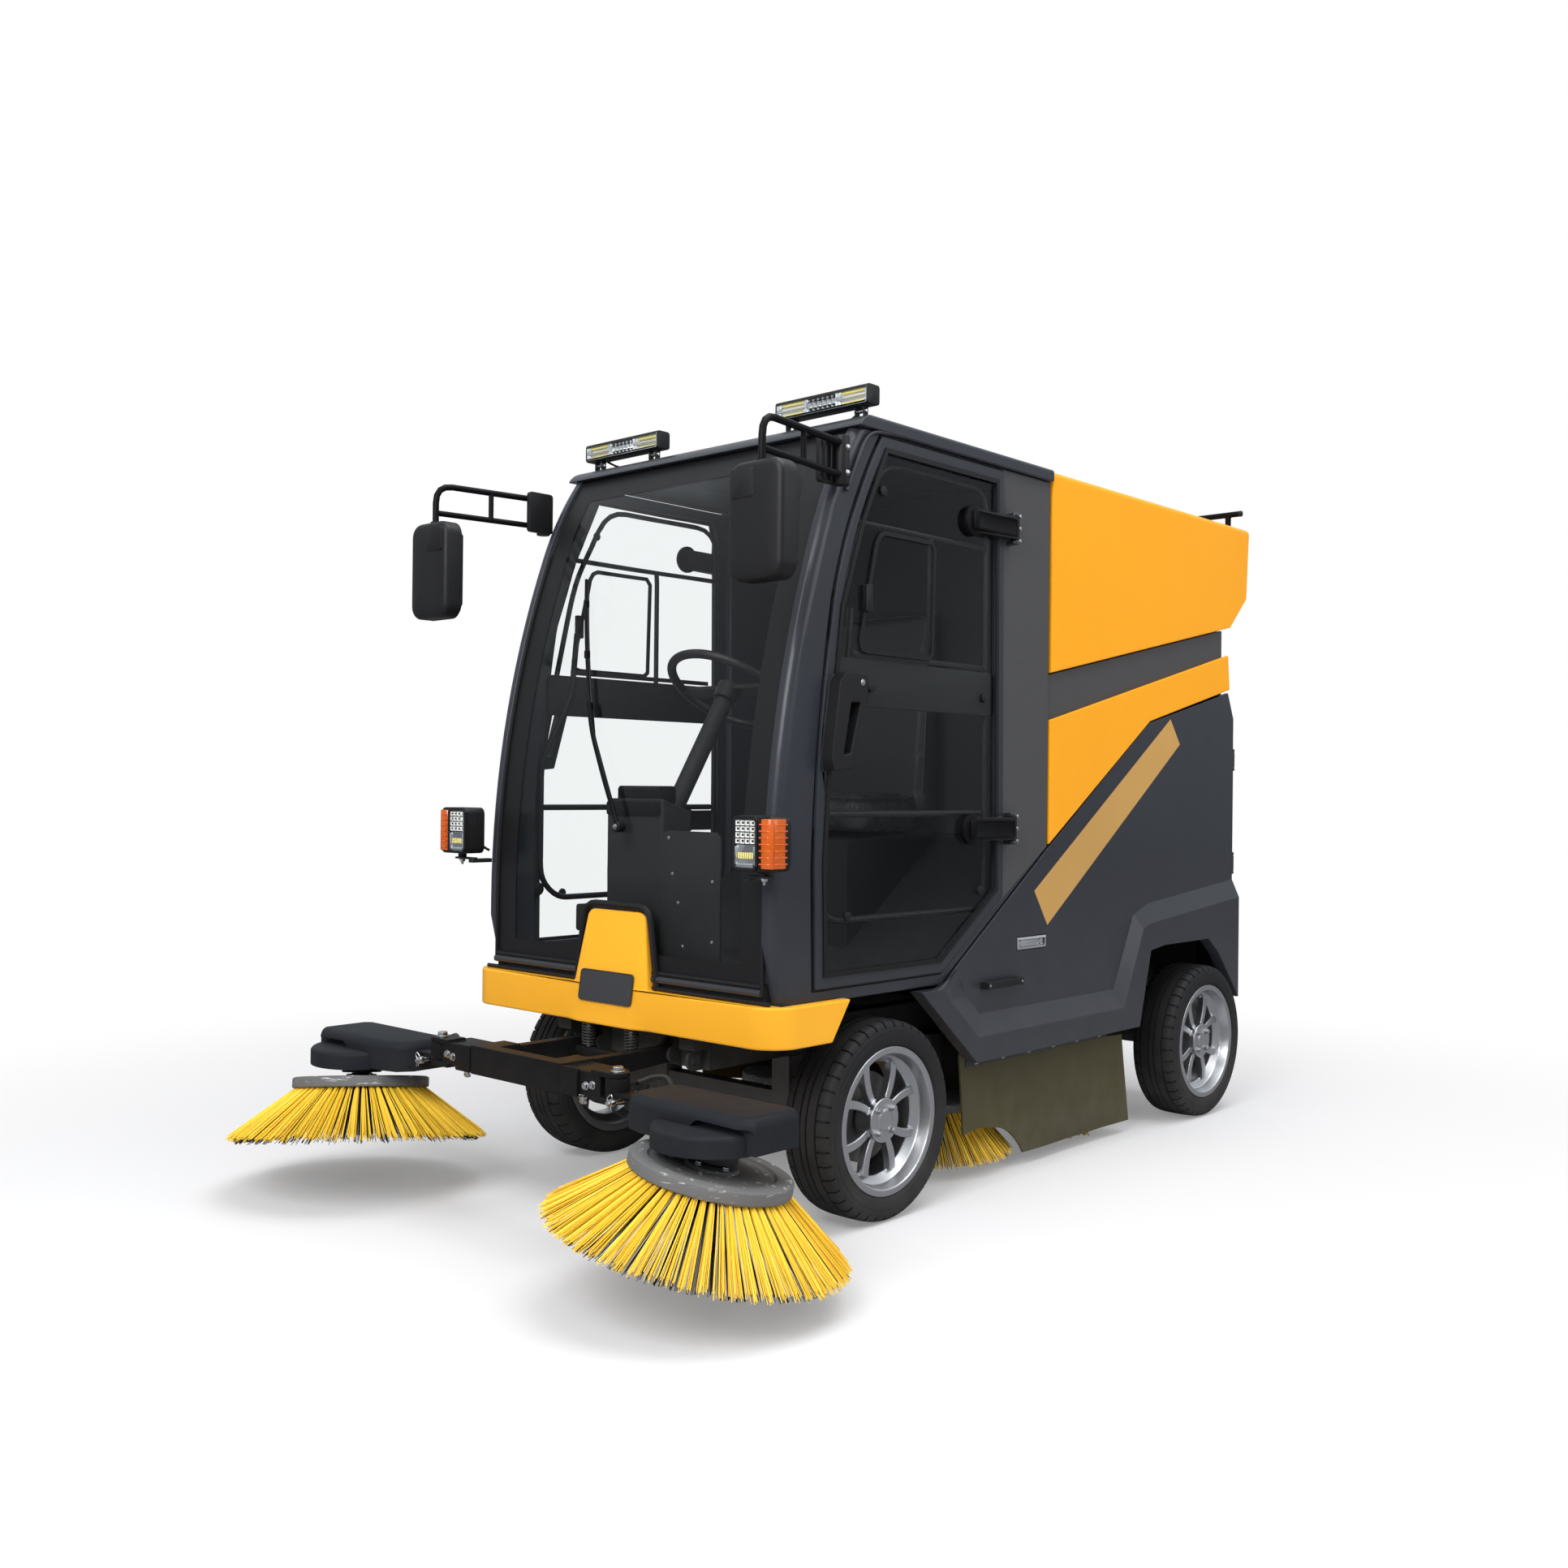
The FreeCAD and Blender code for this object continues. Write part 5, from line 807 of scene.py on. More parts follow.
shaft = painted(disc((0, 0, 0.044), (0, 0, 1), 0.029, 0.03), gloss_black)
mid_brush = join("mid_brush", [ring, plate, shaft])
mid_place = Matrix.Translation(at(0.3, 0.62, 0.185))
for side, way in two_sides:
    name = "mid_brush_" + side
    piece = copy_of(mid_brush, name + "_shape", way @ mid_place)
    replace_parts(piece, name)
    finish_piece(piece, disc_plastic, name, 30.0)
drop(mid_brush)

# ---- Main brush: a steel tube with bristle rows set in it as spirals, which meet halfway.
# It lies across the machine before the rear wheels.
row_tufts = [tuft((0.07, 0, 0), (0.171, 0, 0.004), 20, 0.007, 0.014, 0.008, 0.0017, 0.45)
    for number in range(3)]
roller_middle = at(0, 1.2, 0.182)
rows = []
for row in range(10):
    for step in range(43):
        along = -0.525 + 1.05 * step / 42
        turn = 2 * math.pi * row / 10 + abs(along) * 2.2
        move = (Matrix.Translation(roller_middle + Vector((along, 0, 0)))
            @ Matrix.Rotation(turn, 4, "X") @ Matrix.Rotation(math.pi / 2, 4, "Z"))
        rows.append(copy_of(row_tufts[bristle_random.randrange(3)], "row", move))
bristles = join("roller_rows", rows)
drop(*row_tufts, strand)
roller_low, roller_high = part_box("main_brush")
core = painted(disc(roller_middle, (1, 0, 0), 0.076, 1.06, 48, 0.002), frame_black)
axle = painted(disc(roller_middle, (1, 0, 0), 0.0175, roller_high.x - roller_low.x, 24, 0.001),
    steel)
roller = join("main_brush_shape", [bristles, core, axle])
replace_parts(roller, "main_brush")
finish_piece(roller, black_bristle, "main_brush", 30.0)

# ---- Cab shell: pillars, roof and rear wall in a dark blue-grey coat, with a pressed floor.
# The pillars turn a plain dark grey behind the doors.
cab_grey = coating("cab_grey", (0.025, 0.028, 0.036), 0.34, coat=0.12, drift=0.12, dust=0.1,
    dust_top=1.0, grain=1500.0, bump=0.015, edge=0.004, shine=0.3)
band_grey = coating("band_grey", (0.066, 0.066, 0.069), 0.48, coat=0.0, drift=0.1, dust=0.1,
    dust_top=1.0, grain=700.0, bump=0.04, edge=0.003, shine=0.15)
plastic_black = coating("plastic_black", (0.009, 0.009, 0.01), 0.45, dust=0.1, grain=900.0,
    bump=0.1, edge=0.002)
seal_black = coating("seal_black", (0.008, 0.008, 0.009), 0.5, dust=0.1, edge=0)
trim_black = coating("trim_black", (0.012, 0.012, 0.013), 0.7, drift=0.3, dust=0.12, grain=140.0,
    bump=0.03, edge=0)
sides = rounded("cab_sides", cab_grey, width=0.004, segments=3, convex=True)
sides.data.materials.append(band_grey)
for face in sides.data.polygons:
    if face.center.y - axle_y > 0.592 and abs(face.center.x) > 0.6 and abs(face.normal.x) > 0.9:
        face.material_index = 1
rounded("cab_roof", cab_grey, width=0.003)
rounded("cab_rear_wall", trim_black, width=0.003)
rounded("cab_floor", trim_black, width=0.004)

# The roof gutter: a thin lip that runs back along each side and turns down the pillar.
gutter = painted(tube([at(0.612, -0.18, 2.01), at(0.614, -0.09, 2.188), at(0.614, 0.04, 2.2),
    at(0.614, 0.845, 2.2)], 0.0055, 0.05), cab_grey)
finish_piece(both("roof_gutters", [gutter]), cab_grey, "cab_roof")

# ---- Cab doors: a pane in a thin steel frame, hung on two black hinges. Each has a lock
# barrel, a small sliding window, round glass studs and a tube loop on its inside.
def glazing(name, tint):
    """Clear or tinted glass. Light reaches what lies behind the pane: shadow rays and the
    rays that leave a surface inside pass straight through it."""
    finish, tree, shader = material(name, {"Base Color": tint + (1,), "Transmission Weight": 1.0,
        "IOR": 1.2, "Roughness": 0.0})
    ray = node(tree, "LightPath").outputs
    lit = math_node(tree, "MAXIMUM", ray["Is Shadow Ray"], ray["Is Diffuse Ray"])
    mirrored = math_node(tree, "SUBTRACT", ray["Is Glossy Ray"], ray["Is Transmission Ray"])
    clear = node(tree, "BsdfTransparent", {"Color": tint + (1,)})
    choice = node(tree, "MixShader", {0: math_node(tree, "MAXIMUM", lit, mirrored), 1: shader,
        2: clear})
    feed(tree.nodes["Material Output"], {"Surface": choice})
    return finish


screen_glass = glazing("screen_glass", (0.965, 0.98, 0.975))
door_glass = glazing("door_glass", (0.93, 0.95, 0.95))
door_front, door_tail, door_base, door_top = -0.294, 0.587, 0.667, 2.185
door_shape = [(0.01, 0), (0.65, 0), (1, 0.137), (0.985, 1), (0.306, 1), (0.185, 0.855),
    (0.079, 0.685), (0.03, 0.45), (0, 0.211)]


def door_line(inset, x):
    """The door's outline on a plane across the cab, drawn in by an inset."""
    length = door_tail - door_front - 2 * inset
    height = door_top - door_base - 2 * inset
    points = [at(x, door_front + inset + share * length, door_base + inset + up * height)
        for share, up in door_shape]
    return points + [points[0]]


def ring_of(points, width, way):
    """A flat frame along an outline: filled, inset, its middle taken out, and extruded."""
    piece = draw(points)
    bpy.ops.mesh.remove_doubles(threshold=1e-05)
    bpy.ops.mesh.edge_face_add()
    bpy.ops.mesh.inset(thickness=width)
    bpy.ops.mesh.delete(type="ONLY_FACE")
    bpy.ops.mesh.select_all(action="SELECT")
    extrude(way)
    tidy_normals()
    return piece


def hinge_leaf(z):
    """A cast hinge: a tapered strap on a round foot, and a barrel with three screws."""
    strap = slab([at(x, y, z) for x, y in ((0.612, 0.4), (0.63, 0.392), (0.64, 0.4), (0.642, 0.52),
        (0.65, 0.56), (0.65, 0.6), (0.612, 0.6), (0.612, 0.4))], (0, 0, 0.056))
    press(strap, 0.006, (-0.003, 0, 0), 0, 0.7, True)
    round_off(strap, 0.003, 2, 30.0)
    foot = disc(at(0.616, 0.41, z + 0.028), (1, 0, 0), 0.046, 0.016, 32, 0.004)
    barrel = disc(at(0.632, 0.608, z + 0.028), (0, 0, 1), 0.0135, 0.07, 24)
    pieces = [painted(p, gloss_black) for p in (strap, foot, barrel)]
    for height in (-0.01, 0.028, 0.066):
        pieces += parts((steel, disc, at(0.645, 0.616, z + height), (1, 0, 0), 0.006, 0.006, 12))
    return pieces


for side, way in two_sides:
    name = "cab_door_" + side
    door = rounded(name, cab_grey, width=0.003)
    door.data.materials.append(plastic_black)
    for face in door.data.polygons:
        spot = face.center
        back = spot.y - axle_y
        if (abs(spot.x) > 0.6135 and back < -0.05 or back > 0.59
                or back > 0.34 and abs(spot.x) > 0.6125 and spot.z < 2.1):
            face.material_index = 1
    rounded("door_glass_" + side, door_glass, width=0.0)
    fittings = parts(
        (seal_black, ring_of, door_line(0.03, 0.6122), 0.014, (0.004, 0, 0)),
        (seal_black, ring_of, door_line(-0.004, 0.6), 0.007, (0.006, 0, 0)),
        (seal_black, ring_of, [at(0.6065, y, z) for y, z in ((-0.032, 1.914), (-0.048, 1.89),
            (-0.118, 1.61), (-0.108, 1.582), (-0.085, 1.576), (0.205, 1.576), (0.224, 1.592),
            (0.232, 1.9), (0.214, 1.924), (-0.01, 1.924), (-0.032, 1.914))], 0.013, (0.005, 0, 0)),
        (seal_black, tile, at(0.5945, -0.13, 1.566), at(0.5995, 0.5, 1.58), "y"),
        (plastic_black, tile, at(0.6065, -0.098, 1.69), at(0.62, -0.07, 1.765), "x", 0.004),
        (steel, disc, at(0.6525, -0.15, 1.49), (1, 0, 0), 0.009, 0.002, 20, 0.0005),
        (plastic_black, tube, [at(0.58, y, z) for y, z in ((0.5, 0.842), (-0.195, 0.842),
            (-0.262, 0.9), (-0.262, 1.28), (-0.14, 1.5), (-0.12, 1.7))], 0.0095, 0.05),
        (plastic_black, tube, [at(0.58, -0.26, 1.133), at(0.58, 0.5, 1.133)], 0.0095),
        (plastic_black, disc, at(0.588, -0.27, 0.872), (1, 0, 0), 0.022, 0.016, 24, 0.003),
        (plastic_black, tube, [at(0.583, y, z) for y, z in ((0.52, 0.8), (0.52, 2.12),
            (0.01, 2.12), (-0.13, 1.86), (-0.2, 1.56))], 0.0085, 0.08),
        (trim_black, tile, at(0.582, -0.235, 1.43), at(0.5985, 0.545, 1.56), "x", 0.02),
        (plastic_black, tube, [at(0.583, -0.125, 1.94), at(0.583, 0.52, 1.94)], 0.008),
        (plastic_black, tube, [at(0.583, 0.235, 1.56), at(0.583, 0.235, 1.935)], 0.008))
    for y, z in ((-0.015, 2.034), (-0.06, 1.484), (0.484, 1.482), (-0.152, 0.854), (0.47, 0.9)):
        fittings += parts((plastic_black, disc, at(0.609, y, z), (1, 0, 0), 0.014, 0.007, 24,
            0.002))
    fittings = join(name + "_fittings", fittings + hinge_leaf(1.057) + hinge_leaf(1.982))
    moved(fittings, way)
    finish_piece(fittings, seal_black, name, 35.0)

# ---- Windscreen: one curved pane bonded in a rubber bead, with a printed black border.
# The bead runs up both pillars and along the foot.
screen = rounded("windscreen", screen_glass, width=0.0)
border_low, border_high, border_side = 0.735, 2.115, 0.478
pick(screen)
mode("EDIT")
for centre, normal in (((0, 0, border_low), (0, 0, 1)), ((0, 0, border_high), (0, 0, 1)),
        ((border_side, 0, 0), (1, 0, 0)), ((-border_side, 0, 0), (1, 0, 0))):
    bpy.ops.mesh.select_all(action="SELECT")
    bpy.ops.mesh.bisect(plane_co=centre, plane_no=normal)
mode("OBJECT")
screen.data.materials.append(seal_black)
for face in screen.data.polygons:
    spot = face.center
    if not (border_low < spot.z < border_high and abs(spot.x) < border_side):
        face.material_index = 1


def screen_y(z):
    """The windscreen's outer face at a height, from the arc that its pillars follow."""
    if z < 0.85:
        return -0.438
    if z < 1.93:
        return 2.7157 - math.sqrt(3.1536 ** 2 - (z - 0.8519) ** 2)
    return -0.248 + (z - 1.93) * (0.139 / 0.267)


heights = [0.66 + 0.105 * step for step in range(15)]
bead = []
for x in (-0.563, 0.563):
    bead += parts((seal_black, tube, [at(x, screen_y(z) - 0.004, z) for z in heights], 0.006))
bead += parts((cab_grey, tube, [at(-0.563, -0.444, 0.668), at(0.563, -0.444, 0.668)], 0.011),
    (seal_black, tube, [at(-0.563, -0.443, 0.684), at(0.563, -0.443, 0.684)], 0.007))
finish_piece(join("screen_beads", bead), seal_black, "cab_sides")

# ---- Inside the cab: console with its screws and meter, pedals and steering wheel, all in
# black.
rounded("dashboard", trim_black, width=0.006, segments=3)
inside = parts((gloss_black, tile, at(-0.112, -0.392, 1.12), at(0.112, -0.384, 1.16), "y", 0.008),
    (gloss_black, tile, at(-0.085, -0.372, 1.15), at(0.085, -0.3, 1.205), "x", 0.012))
for x, z in ((0.155, 1.06), (0.172, 0.96), (0.196, 0.88), (0.215, 0.76), (0.33, 0.78),
        (0.33, 0.945)):
    inside += parts((steel, disc, at(x, -0.3925, z), (0, -1, 0), 0.005, 0.004, 12))
inside += parts((trim_black, tile, at(0.122, -0.392, 0.68), at(0.36, -0.386, 1.08), "y", 0.03))
for x in (-0.23, -0.16):
    inside += parts((steel, tube, [at(x, -0.28, 0.672), at(x, -0.31, 0.76), at(x, -0.35, 0.8)],
        0.008, 0.04), (plastic_black, tile, at(x - 0.035, -0.375, 0.77),
        at(x + 0.035, -0.345, 0.85), "y", 0.01))
finish_piece(join("cab_fittings", inside), trim_black, "dashboard")
rounded("steering_wheel", plastic_black, width=0.0)

# ---- Seat: a foam cushion and a leaning back in black vinyl, each blown up by a short cloth
# run inside its outline, with piping sewn round the edge of each face.
vinyl = coating("seat_vinyl", (0.017, 0.017, 0.018), 0.48, dust=0.05, grain=240.0, bump=0.05,
    edge=0)


def blow_up(piece, cap):
    """Padding: remeshed, swollen by a cloth run that no point leaves by more than the cap."""
    modify(piece, "REMESH", mode="VOXEL", voxel_size=0.006)
    before = [v.co.copy() for v in piece.data.vertices]
    cloth = piece.modifiers.new("cloth", "CLOTH")
    cloth.settings.use_pressure = True
    cloth.settings.uniform_pressure_force = 4.0
    cloth.settings.effector_weights.gravity = 0.0
    for frame_number in range(1, 21):
        bpy.context.scene.frame_set(frame_number)
    bpy.ops.object.modifier_apply(modifier=cloth.name)
    bpy.context.scene.frame_set(1)
    for vertex, old in zip(piece.data.vertices, before):
        move = vertex.co - old
        if move.length > cap:
            vertex.co = old + move.normalized() * cap
    modify(piece, "SUBSURF", levels=1, render_levels=1)
    bpy.ops.object.shade_smooth()
    return piece


seat_low, seat_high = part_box("driver_seat")
swell = 0.014
cushion_top = seat_low.z + 0.118
cushion = tile((seat_low.x + swell, seat_low.y + swell, seat_low.z + 0.008),
    (seat_high.x - swell, seat_high.y - 0.12, cushion_top - swell), "z", 0.05, 0.012)
press(cushion, 0.07, (0, 0, -0.012), 2)
back_foot, back_head = seat_low.z + 0.03, seat_high.z - swell
backrest = slab([Vector((seat_low.x + swell, y, z)) for y, z in ((seat_high.y - 0.098, back_foot),
    (seat_high.y - 0.092, back_foot + 0.2), (seat_high.y - 0.052, back_head - 0.04),
    (seat_high.y - 0.04, back_head), (seat_high.y - swell, back_head - 0.012),
    (seat_high.y - swell, back_foot), (seat_high.y - 0.098, back_foot))],
    (seat_high.x - seat_low.x - 2 * swell, 0, 0))
round_off(backrest, 0.022, 4)
for pad in (cushion, backrest):
    blow_up(pad, 0.012)
piping = [tube([(x, y, cushion_top - 0.014) for x, y in ((-0.225, seat_low.y + 0.02),
    (0.225, seat_low.y + 0.02), (0.225, seat_high.y - 0.13), (-0.225, seat_high.y - 0.13),
    (-0.225, seat_low.y + 0.02))], 0.004, 0.04), tube([(-0.22, seat_high.y - 0.098,
    back_foot + 0.1), (-0.22, seat_high.y - 0.06, back_head - 0.03),
    (0.22, seat_high.y - 0.06, back_head - 0.03), (0.22, seat_high.y - 0.098, back_foot + 0.1)],
    0.004, 0.05)]
for pad, name in ((cushion, "seat_cushion"), (backrest, "seat_backrest")):
    pad.name = name
    painted(pad, vinyl)
    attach(pad, "chassis")
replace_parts(cushion, "driver_seat")
finish_piece(join("seat_piping", [painted(p, vinyl) for p in piping]), vinyl, "driver_seat")

# ---- Bumper: one glass-fibre moulding in bright yellow with a hump over the screen's foot.
# A rubber strip seals the hump, and a blank name plate sits low on it.
bumper_yellow = coating("bumper_yellow", (0.92, 0.43, 0.022), 0.34, coat=0.06, drift=0.08, dust=0.1,
    dust_top=0.7, grain=900.0, bump=0.015, edge=0.006, shine=0.18)
plate_grey = coating("plate_grey", (0.055, 0.055, 0.06), 0.4, metallic=0.3, dust=0.05, bump=0.03,
    edge=0.001)
bumper = rounded("front_bumper", bumper_yellow, width=0.006, segments=3, angle=25.0, convex=True)
hump_trim = painted(tube([at(-0.171, -0.447, 0.64), at(-0.137, -0.447, 0.866),
    at(0.137, -0.447, 0.866), at(0.171, -0.447, 0.64)], 0.01, 0.045), seal_black)
strip = painted(tube([at(-0.596, -0.449, 0.643), at(0.596, -0.449, 0.643)], 0.0065), seal_black)
finish_piece(join("bumper_trims", [hump_trim, strip]), seal_black, "front_bumper")
blank = tile((-0.112, -0.002, -0.045), (0.112, 0.002, 0.045), "y", 0.012, 0.0008)
blank.name = "blank_plate"
press(blank, 0.003, (0, 0.0008, 0), 1, -0.9)
bpy.context.view_layer.update()
faces_y = []
for step in range(19):
    hits = [bumper.ray_cast((x, -3.0, 0.59 + 0.005 * step), (0, 1, 0)) for x in (-0.11, 0.0, 0.11)]
    faces_y.append(min(spot.y for found, spot, normal, index in hits if found))
rise_y = (faces_y[-1] - faces_y[0]) / 18
stand = max(faces_y[0] + rise_y * step - y for step, y in enumerate(faces_y)) + 0.0045
blank.data.transform(Matrix.Translation((0, (faces_y[0] + faces_y[-1]) / 2 - stand, 0.635))
    @ Matrix.Rotation(-math.atan2(rise_y, 0.005), 4, "X"))
finish_piece(blank, plate_grey, "front_bumper")

# ---- Work lamps: a black housing on a bracket from the pillar. It holds a clear lens over a
# grid of diodes and a bright reflector, and an amber indicator wraps round its outer side.
lens_clear = glazing("lens_clear", (0.97, 0.98, 0.98))


def lens_plastic(name, tint, clearness):
    """A coloured lens that lets a part of the light through."""
    return material(name, {"Base Color": tint + (1,), "Transmission Weight": clearness,
        "Roughness": 0.12})[0]


lens_amber = lens_plastic("lens_amber", (0.95, 0.17, 0.012), 0.45)
bright = coating("bright_reflector", (0.86, 0.87, 0.88), 0.12, metallic=1.0, dust=0.0, bump=0,
    edge=0)
silvered = coating("silvered_plastic", (0.8, 0.81, 0.82), 0.35, metallic=0.6, dust=0.0, bump=0,
    edge=0)
diode = coating("pale_diode", (0.8, 0.8, 0.76), 0.35, dust=0.0, bump=0.1, edge=0)
warm_diode = coating("warm_diode", (0.85, 0.72, 0.22), 0.35, dust=0.0, bump=0.1, edge=0)

housing = tile(at(0.568, -0.556, 0.992), at(0.704, -0.488, 1.133), "y", 0.02, 0.003)
choose(housing, lambda centre, normal: normal.y > 0.9)
bpy.ops.transform.resize(value=(0.82, 1, 0.82))
mode("OBJECT")
bezel = ring_of([at(x, -0.5645, z) for x, z in ((0.58, 0.994), (0.644, 0.994), (0.656, 1.006),
    (0.656, 1.119), (0.644, 1.131), (0.58, 1.131), (0.568, 1.119), (0.568, 1.006), (0.58, 0.994))],
    0.007, (0, 0.012, 0))
lamp = [painted(housing, plastic_black), painted(bezel, plastic_black)]
lamp += parts((bright, tile, at(0.574, -0.5595, 1.0), at(0.65, -0.556, 1.125), "y", 0.01))
for column in range(4):
    for row in range(4):
        low = at(0.5795 + 0.0168 * column, -0.5625, 1.062 + 0.0152 * row)
        cell = tile(low, low + Vector((0.0138, 0.0035, 0.0122)), "y", 0.0, 0.0)
        press(cell, 0.004, (0, 0.0025, 0), 1, -0.9)
        lamp.append(painted(cell, diode))
lamp += parts((plastic_black, tile, at(0.5765, -0.5605, 1.059), at(0.648, -0.559, 1.124), "y"))
for low, high in ((at(0.577, -0.5635, 1.003), at(0.584, -0.556, 1.055)),
        (at(0.64, -0.5635, 1.003), at(0.647, -0.556, 1.055)),
        (at(0.577, -0.5635, 1.003), at(0.647, -0.556, 1.012))):
    lamp += parts((bright, tile, low, high, "y", 0.0, 0.0015))
for number in range(7):
    low = at(0.5865 + 0.0075 * number, -0.56, 1.024)
    lamp += parts((warm_diode, tile, low, low + Vector((0.006, 0.002, 0.016)), "y"))
lens = painted(tile(at(0.575, -0.5652, 1.001), at(0.649, -0.564, 1.124), "y", 0.01, 0.0004),
    lens_clear)
amber = tile(at(0.66, -0.5645, 1.0), at(0.7048, -0.5, 1.125), "z", 0.016, 0.003)
ribs = []
for number in range(7):
    z = 1.012 + 0.0165 * number
    ribs += parts((lens_amber, tube, [at(0.664, -0.5648, z), at(0.692, -0.5648, z),
        at(0.7042, -0.55, z), at(0.7042, -0.506, z)], 0.0022, 0.012))
lamp += parts((plastic_black, tile, at(0.655, -0.56, 0.994), at(0.661, -0.492, 1.131), "y"))
bracket = parts((frame_black, tile, at(0.572, -0.532, 0.974), at(0.668, -0.508, 0.98), "z", 0.01),
    (frame_black, tile, at(0.573, -0.53, 0.964), at(0.597, -0.456, 0.976), "z", 0.004),
    (plastic_black, disc, at(0.64, -0.52, 0.986), (0, 0, 1), 0.013, 0.014, 24),
    (steel, bolt, at(0.64, -0.52, 0.974), (0, 0, -1), 0.009),
    (steel, disc, at(0.64, -0.52, 0.964), (0, 0, 1), 0.004, 0.014, 12),
    (hose_black, tube, [at(0.61, -0.492, 1.04), at(0.6, -0.47, 1.01), at(0.59, -0.455, 1.0)], 0.004,
    0.02))
lamps = both("work_lamp_housings", lamp + bracket)
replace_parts(lamps, "work_lamps")
finish_piece(lamps, plastic_black, "work_lamps", 30.0)
lenses = both("work_lamp_lenses", [lens, painted(amber, lens_amber)] + ribs)
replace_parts(lenses, "lamp_lenses")
finish_piece(lenses, lens_clear, "lamp_lenses", 30.0)

# ---- Light bars: two black boxes on the roof's front edge. Each has a clear cover, diode
# strips in bright troughs at its ends and a patch of faceted reflectors in its middle.
bar = tile(at(0.251, -0.077, 2.271), at(0.6, -0.024, 2.327), "x", 0.009, 0.002)
press(bar, 0.004, (0, 0.02, 0), 1, -0.95, True)
bar_parts = [painted(bar, plastic_black)]
bar_parts += parts((silvered, tile, at(0.2565, -0.0605, 2.2745), at(0.5945, -0.058, 2.3235), "y"))
for left, right, foot, head in ((0.2565, 0.5945, 2.2745, 2.2765), (0.2565, 0.5945, 2.3215, 2.3235),
        (0.2565, 0.2585, 2.2745, 2.3235), (0.5925, 0.5945, 2.2745, 2.3235),
        (0.369, 0.371, 2.2745, 2.3235), (0.48, 0.482, 2.2745, 2.3235)):
    bar_parts += parts((silvered, tile, at(left, -0.0745, foot), at(right, -0.059, head), "y",
        0, 0))
for start in (0.258, 0.482):
    for z in (2.313, 2.285):
        bar_parts += parts((warm_diode, disc, at(start + 0.06, -0.066, z), (1, 0, 0), 0.0035, 0.088,
            10, 0))
    for low, high in ((2.273, 2.284), (2.294, 2.304), (2.314, 2.325)):
        trough = tile(at(start, -0.072, low), at(start + 0.11, -0.058, high), "x", 0, 0)
        choose(trough, lambda centre, normal: normal.y < -0.9)
        bpy.ops.transform.resize(value=(0.94, 1, 0.25))
        mode("OBJECT")
        bar_parts.append(painted(trough, silvered))
    for x in (start + 0.004, start + 0.106):
        for z in (2.285, 2.313):
            bar_parts += parts((silvered, disc, at(x, -0.066, z), (0, 1, 0), 0.01, 0.01, 16, 0.003))
for column in range(6):
    for row in range(3):
        low = at(0.3735 + 0.0175 * column, -0.07, 2.2755 + 0.0165 * row)
        cell = tile(low, low + Vector((0.0165, 0.012, 0.0155)), "y", 0, 0)
        press(cell, 0.0055, (0, 0.006, 0), 1, -0.9)
        bar_parts.append(painted(cell, bright))
cover = painted(tile(at(0.256, -0.0798, 2.2745), at(0.595, -0.077, 2.3235), "y", 0.006, 0.0008),
    lens_clear)
for x in (0.295, 0.555):
    bar_parts += parts((frame_black, tile, at(x - 0.017, -0.062, 2.236),
        at(x + 0.017, -0.038, 2.242), "z", 0.004))
    for edge in (-0.017, 0.013):
        bar_parts += parts((frame_black, tile, at(x + edge, -0.06, 2.238),
            at(x + edge + 0.004, -0.04, 2.276), "x", 0.006))
    bar_parts += parts((steel, disc, at(x, -0.05, 2.258), (1, 0, 0), 0.006, 0.044, 12))
bar_parts += parts((hose_black, tube, [at(0.555, -0.035, 2.28), at(0.5, -0.02, 2.25),
    at(0.44, -0.018, 2.243), at(0.4, -0.016, 2.24)], 0.0035, 0.04))
bars = both("light_bar_shapes", bar_parts + [cover])
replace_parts(bars, "light_bars")
finish_piece(bars, plastic_black, "light_bars", 30.0)

# ---- Mirrors: a rounded black head on a bent steel tube, tied to a second tube. Both are
# bolted in a slotted bracket on the front pillar.
mirror_silver, tree, shader = material("mirror_silver", {"Base Color": (0.82, 0.84, 0.85, 1),
    "Metallic": 1.0})
film = noise_node(tree, texture_space(tree), 8.0, 5.0)
haze = node(tree, "MapRange", {"Value": film, "From Min": 0.45, "From Max": 0.9, "To Min": 0.02,
    "To Max": 0.12})
feed(shader, {"Roughness": haze})

head = tile(at(0.597, -0.629, 1.713), at(0.783, -0.566, 2.009), "y", 0.042, 0.0, 6)
choose(head, lambda centre, normal: normal.y < -0.9)
bpy.ops.transform.translate(value=(0, 0.004, 0))
bpy.ops.mesh.bevel(offset=0.017, segments=5, affect="EDGES")
mode("OBJECT")
choose(head, lambda centre, normal: normal.y < -0.99 and abs(centre.z - 1.861) < 0.02)
for scale, rise in ((0.88, -0.0018), (0.82, -0.0012), (0.72, -0.0007), (0.5, -0.0003)):
    extrude((0, rise, 0))
    bpy.ops.transform.resize(value=(scale, 1, scale))
mode("OBJECT")
panel = tile(at(0.614, -0.63, 1.916), at(0.69, -0.6235, 1.99), "y", 0.008, 0.0015)
rim = ring_of([at(x, -0.5665, z) for x, z in ((0.64, 1.716), (0.74, 1.716), (0.78, 1.756),
    (0.78, 1.966), (0.74, 2.006), (0.64, 2.006), (0.6, 1.966), (0.6, 1.756), (0.64, 1.716))], 0.008,
    (0, 0.008, 0))
barrel = disc(at(0.632, -0.224, 2.08), (0, 0, 1), 0.0215, 0.132, 32, 0.002)
slotted = tile(at(0.606, -0.3, 2.016), at(0.622, -0.206, 2.144), "x", 0.01)
mirror_parts = [painted(p, plastic_black) for p in (head, panel, rim, barrel, slotted)]
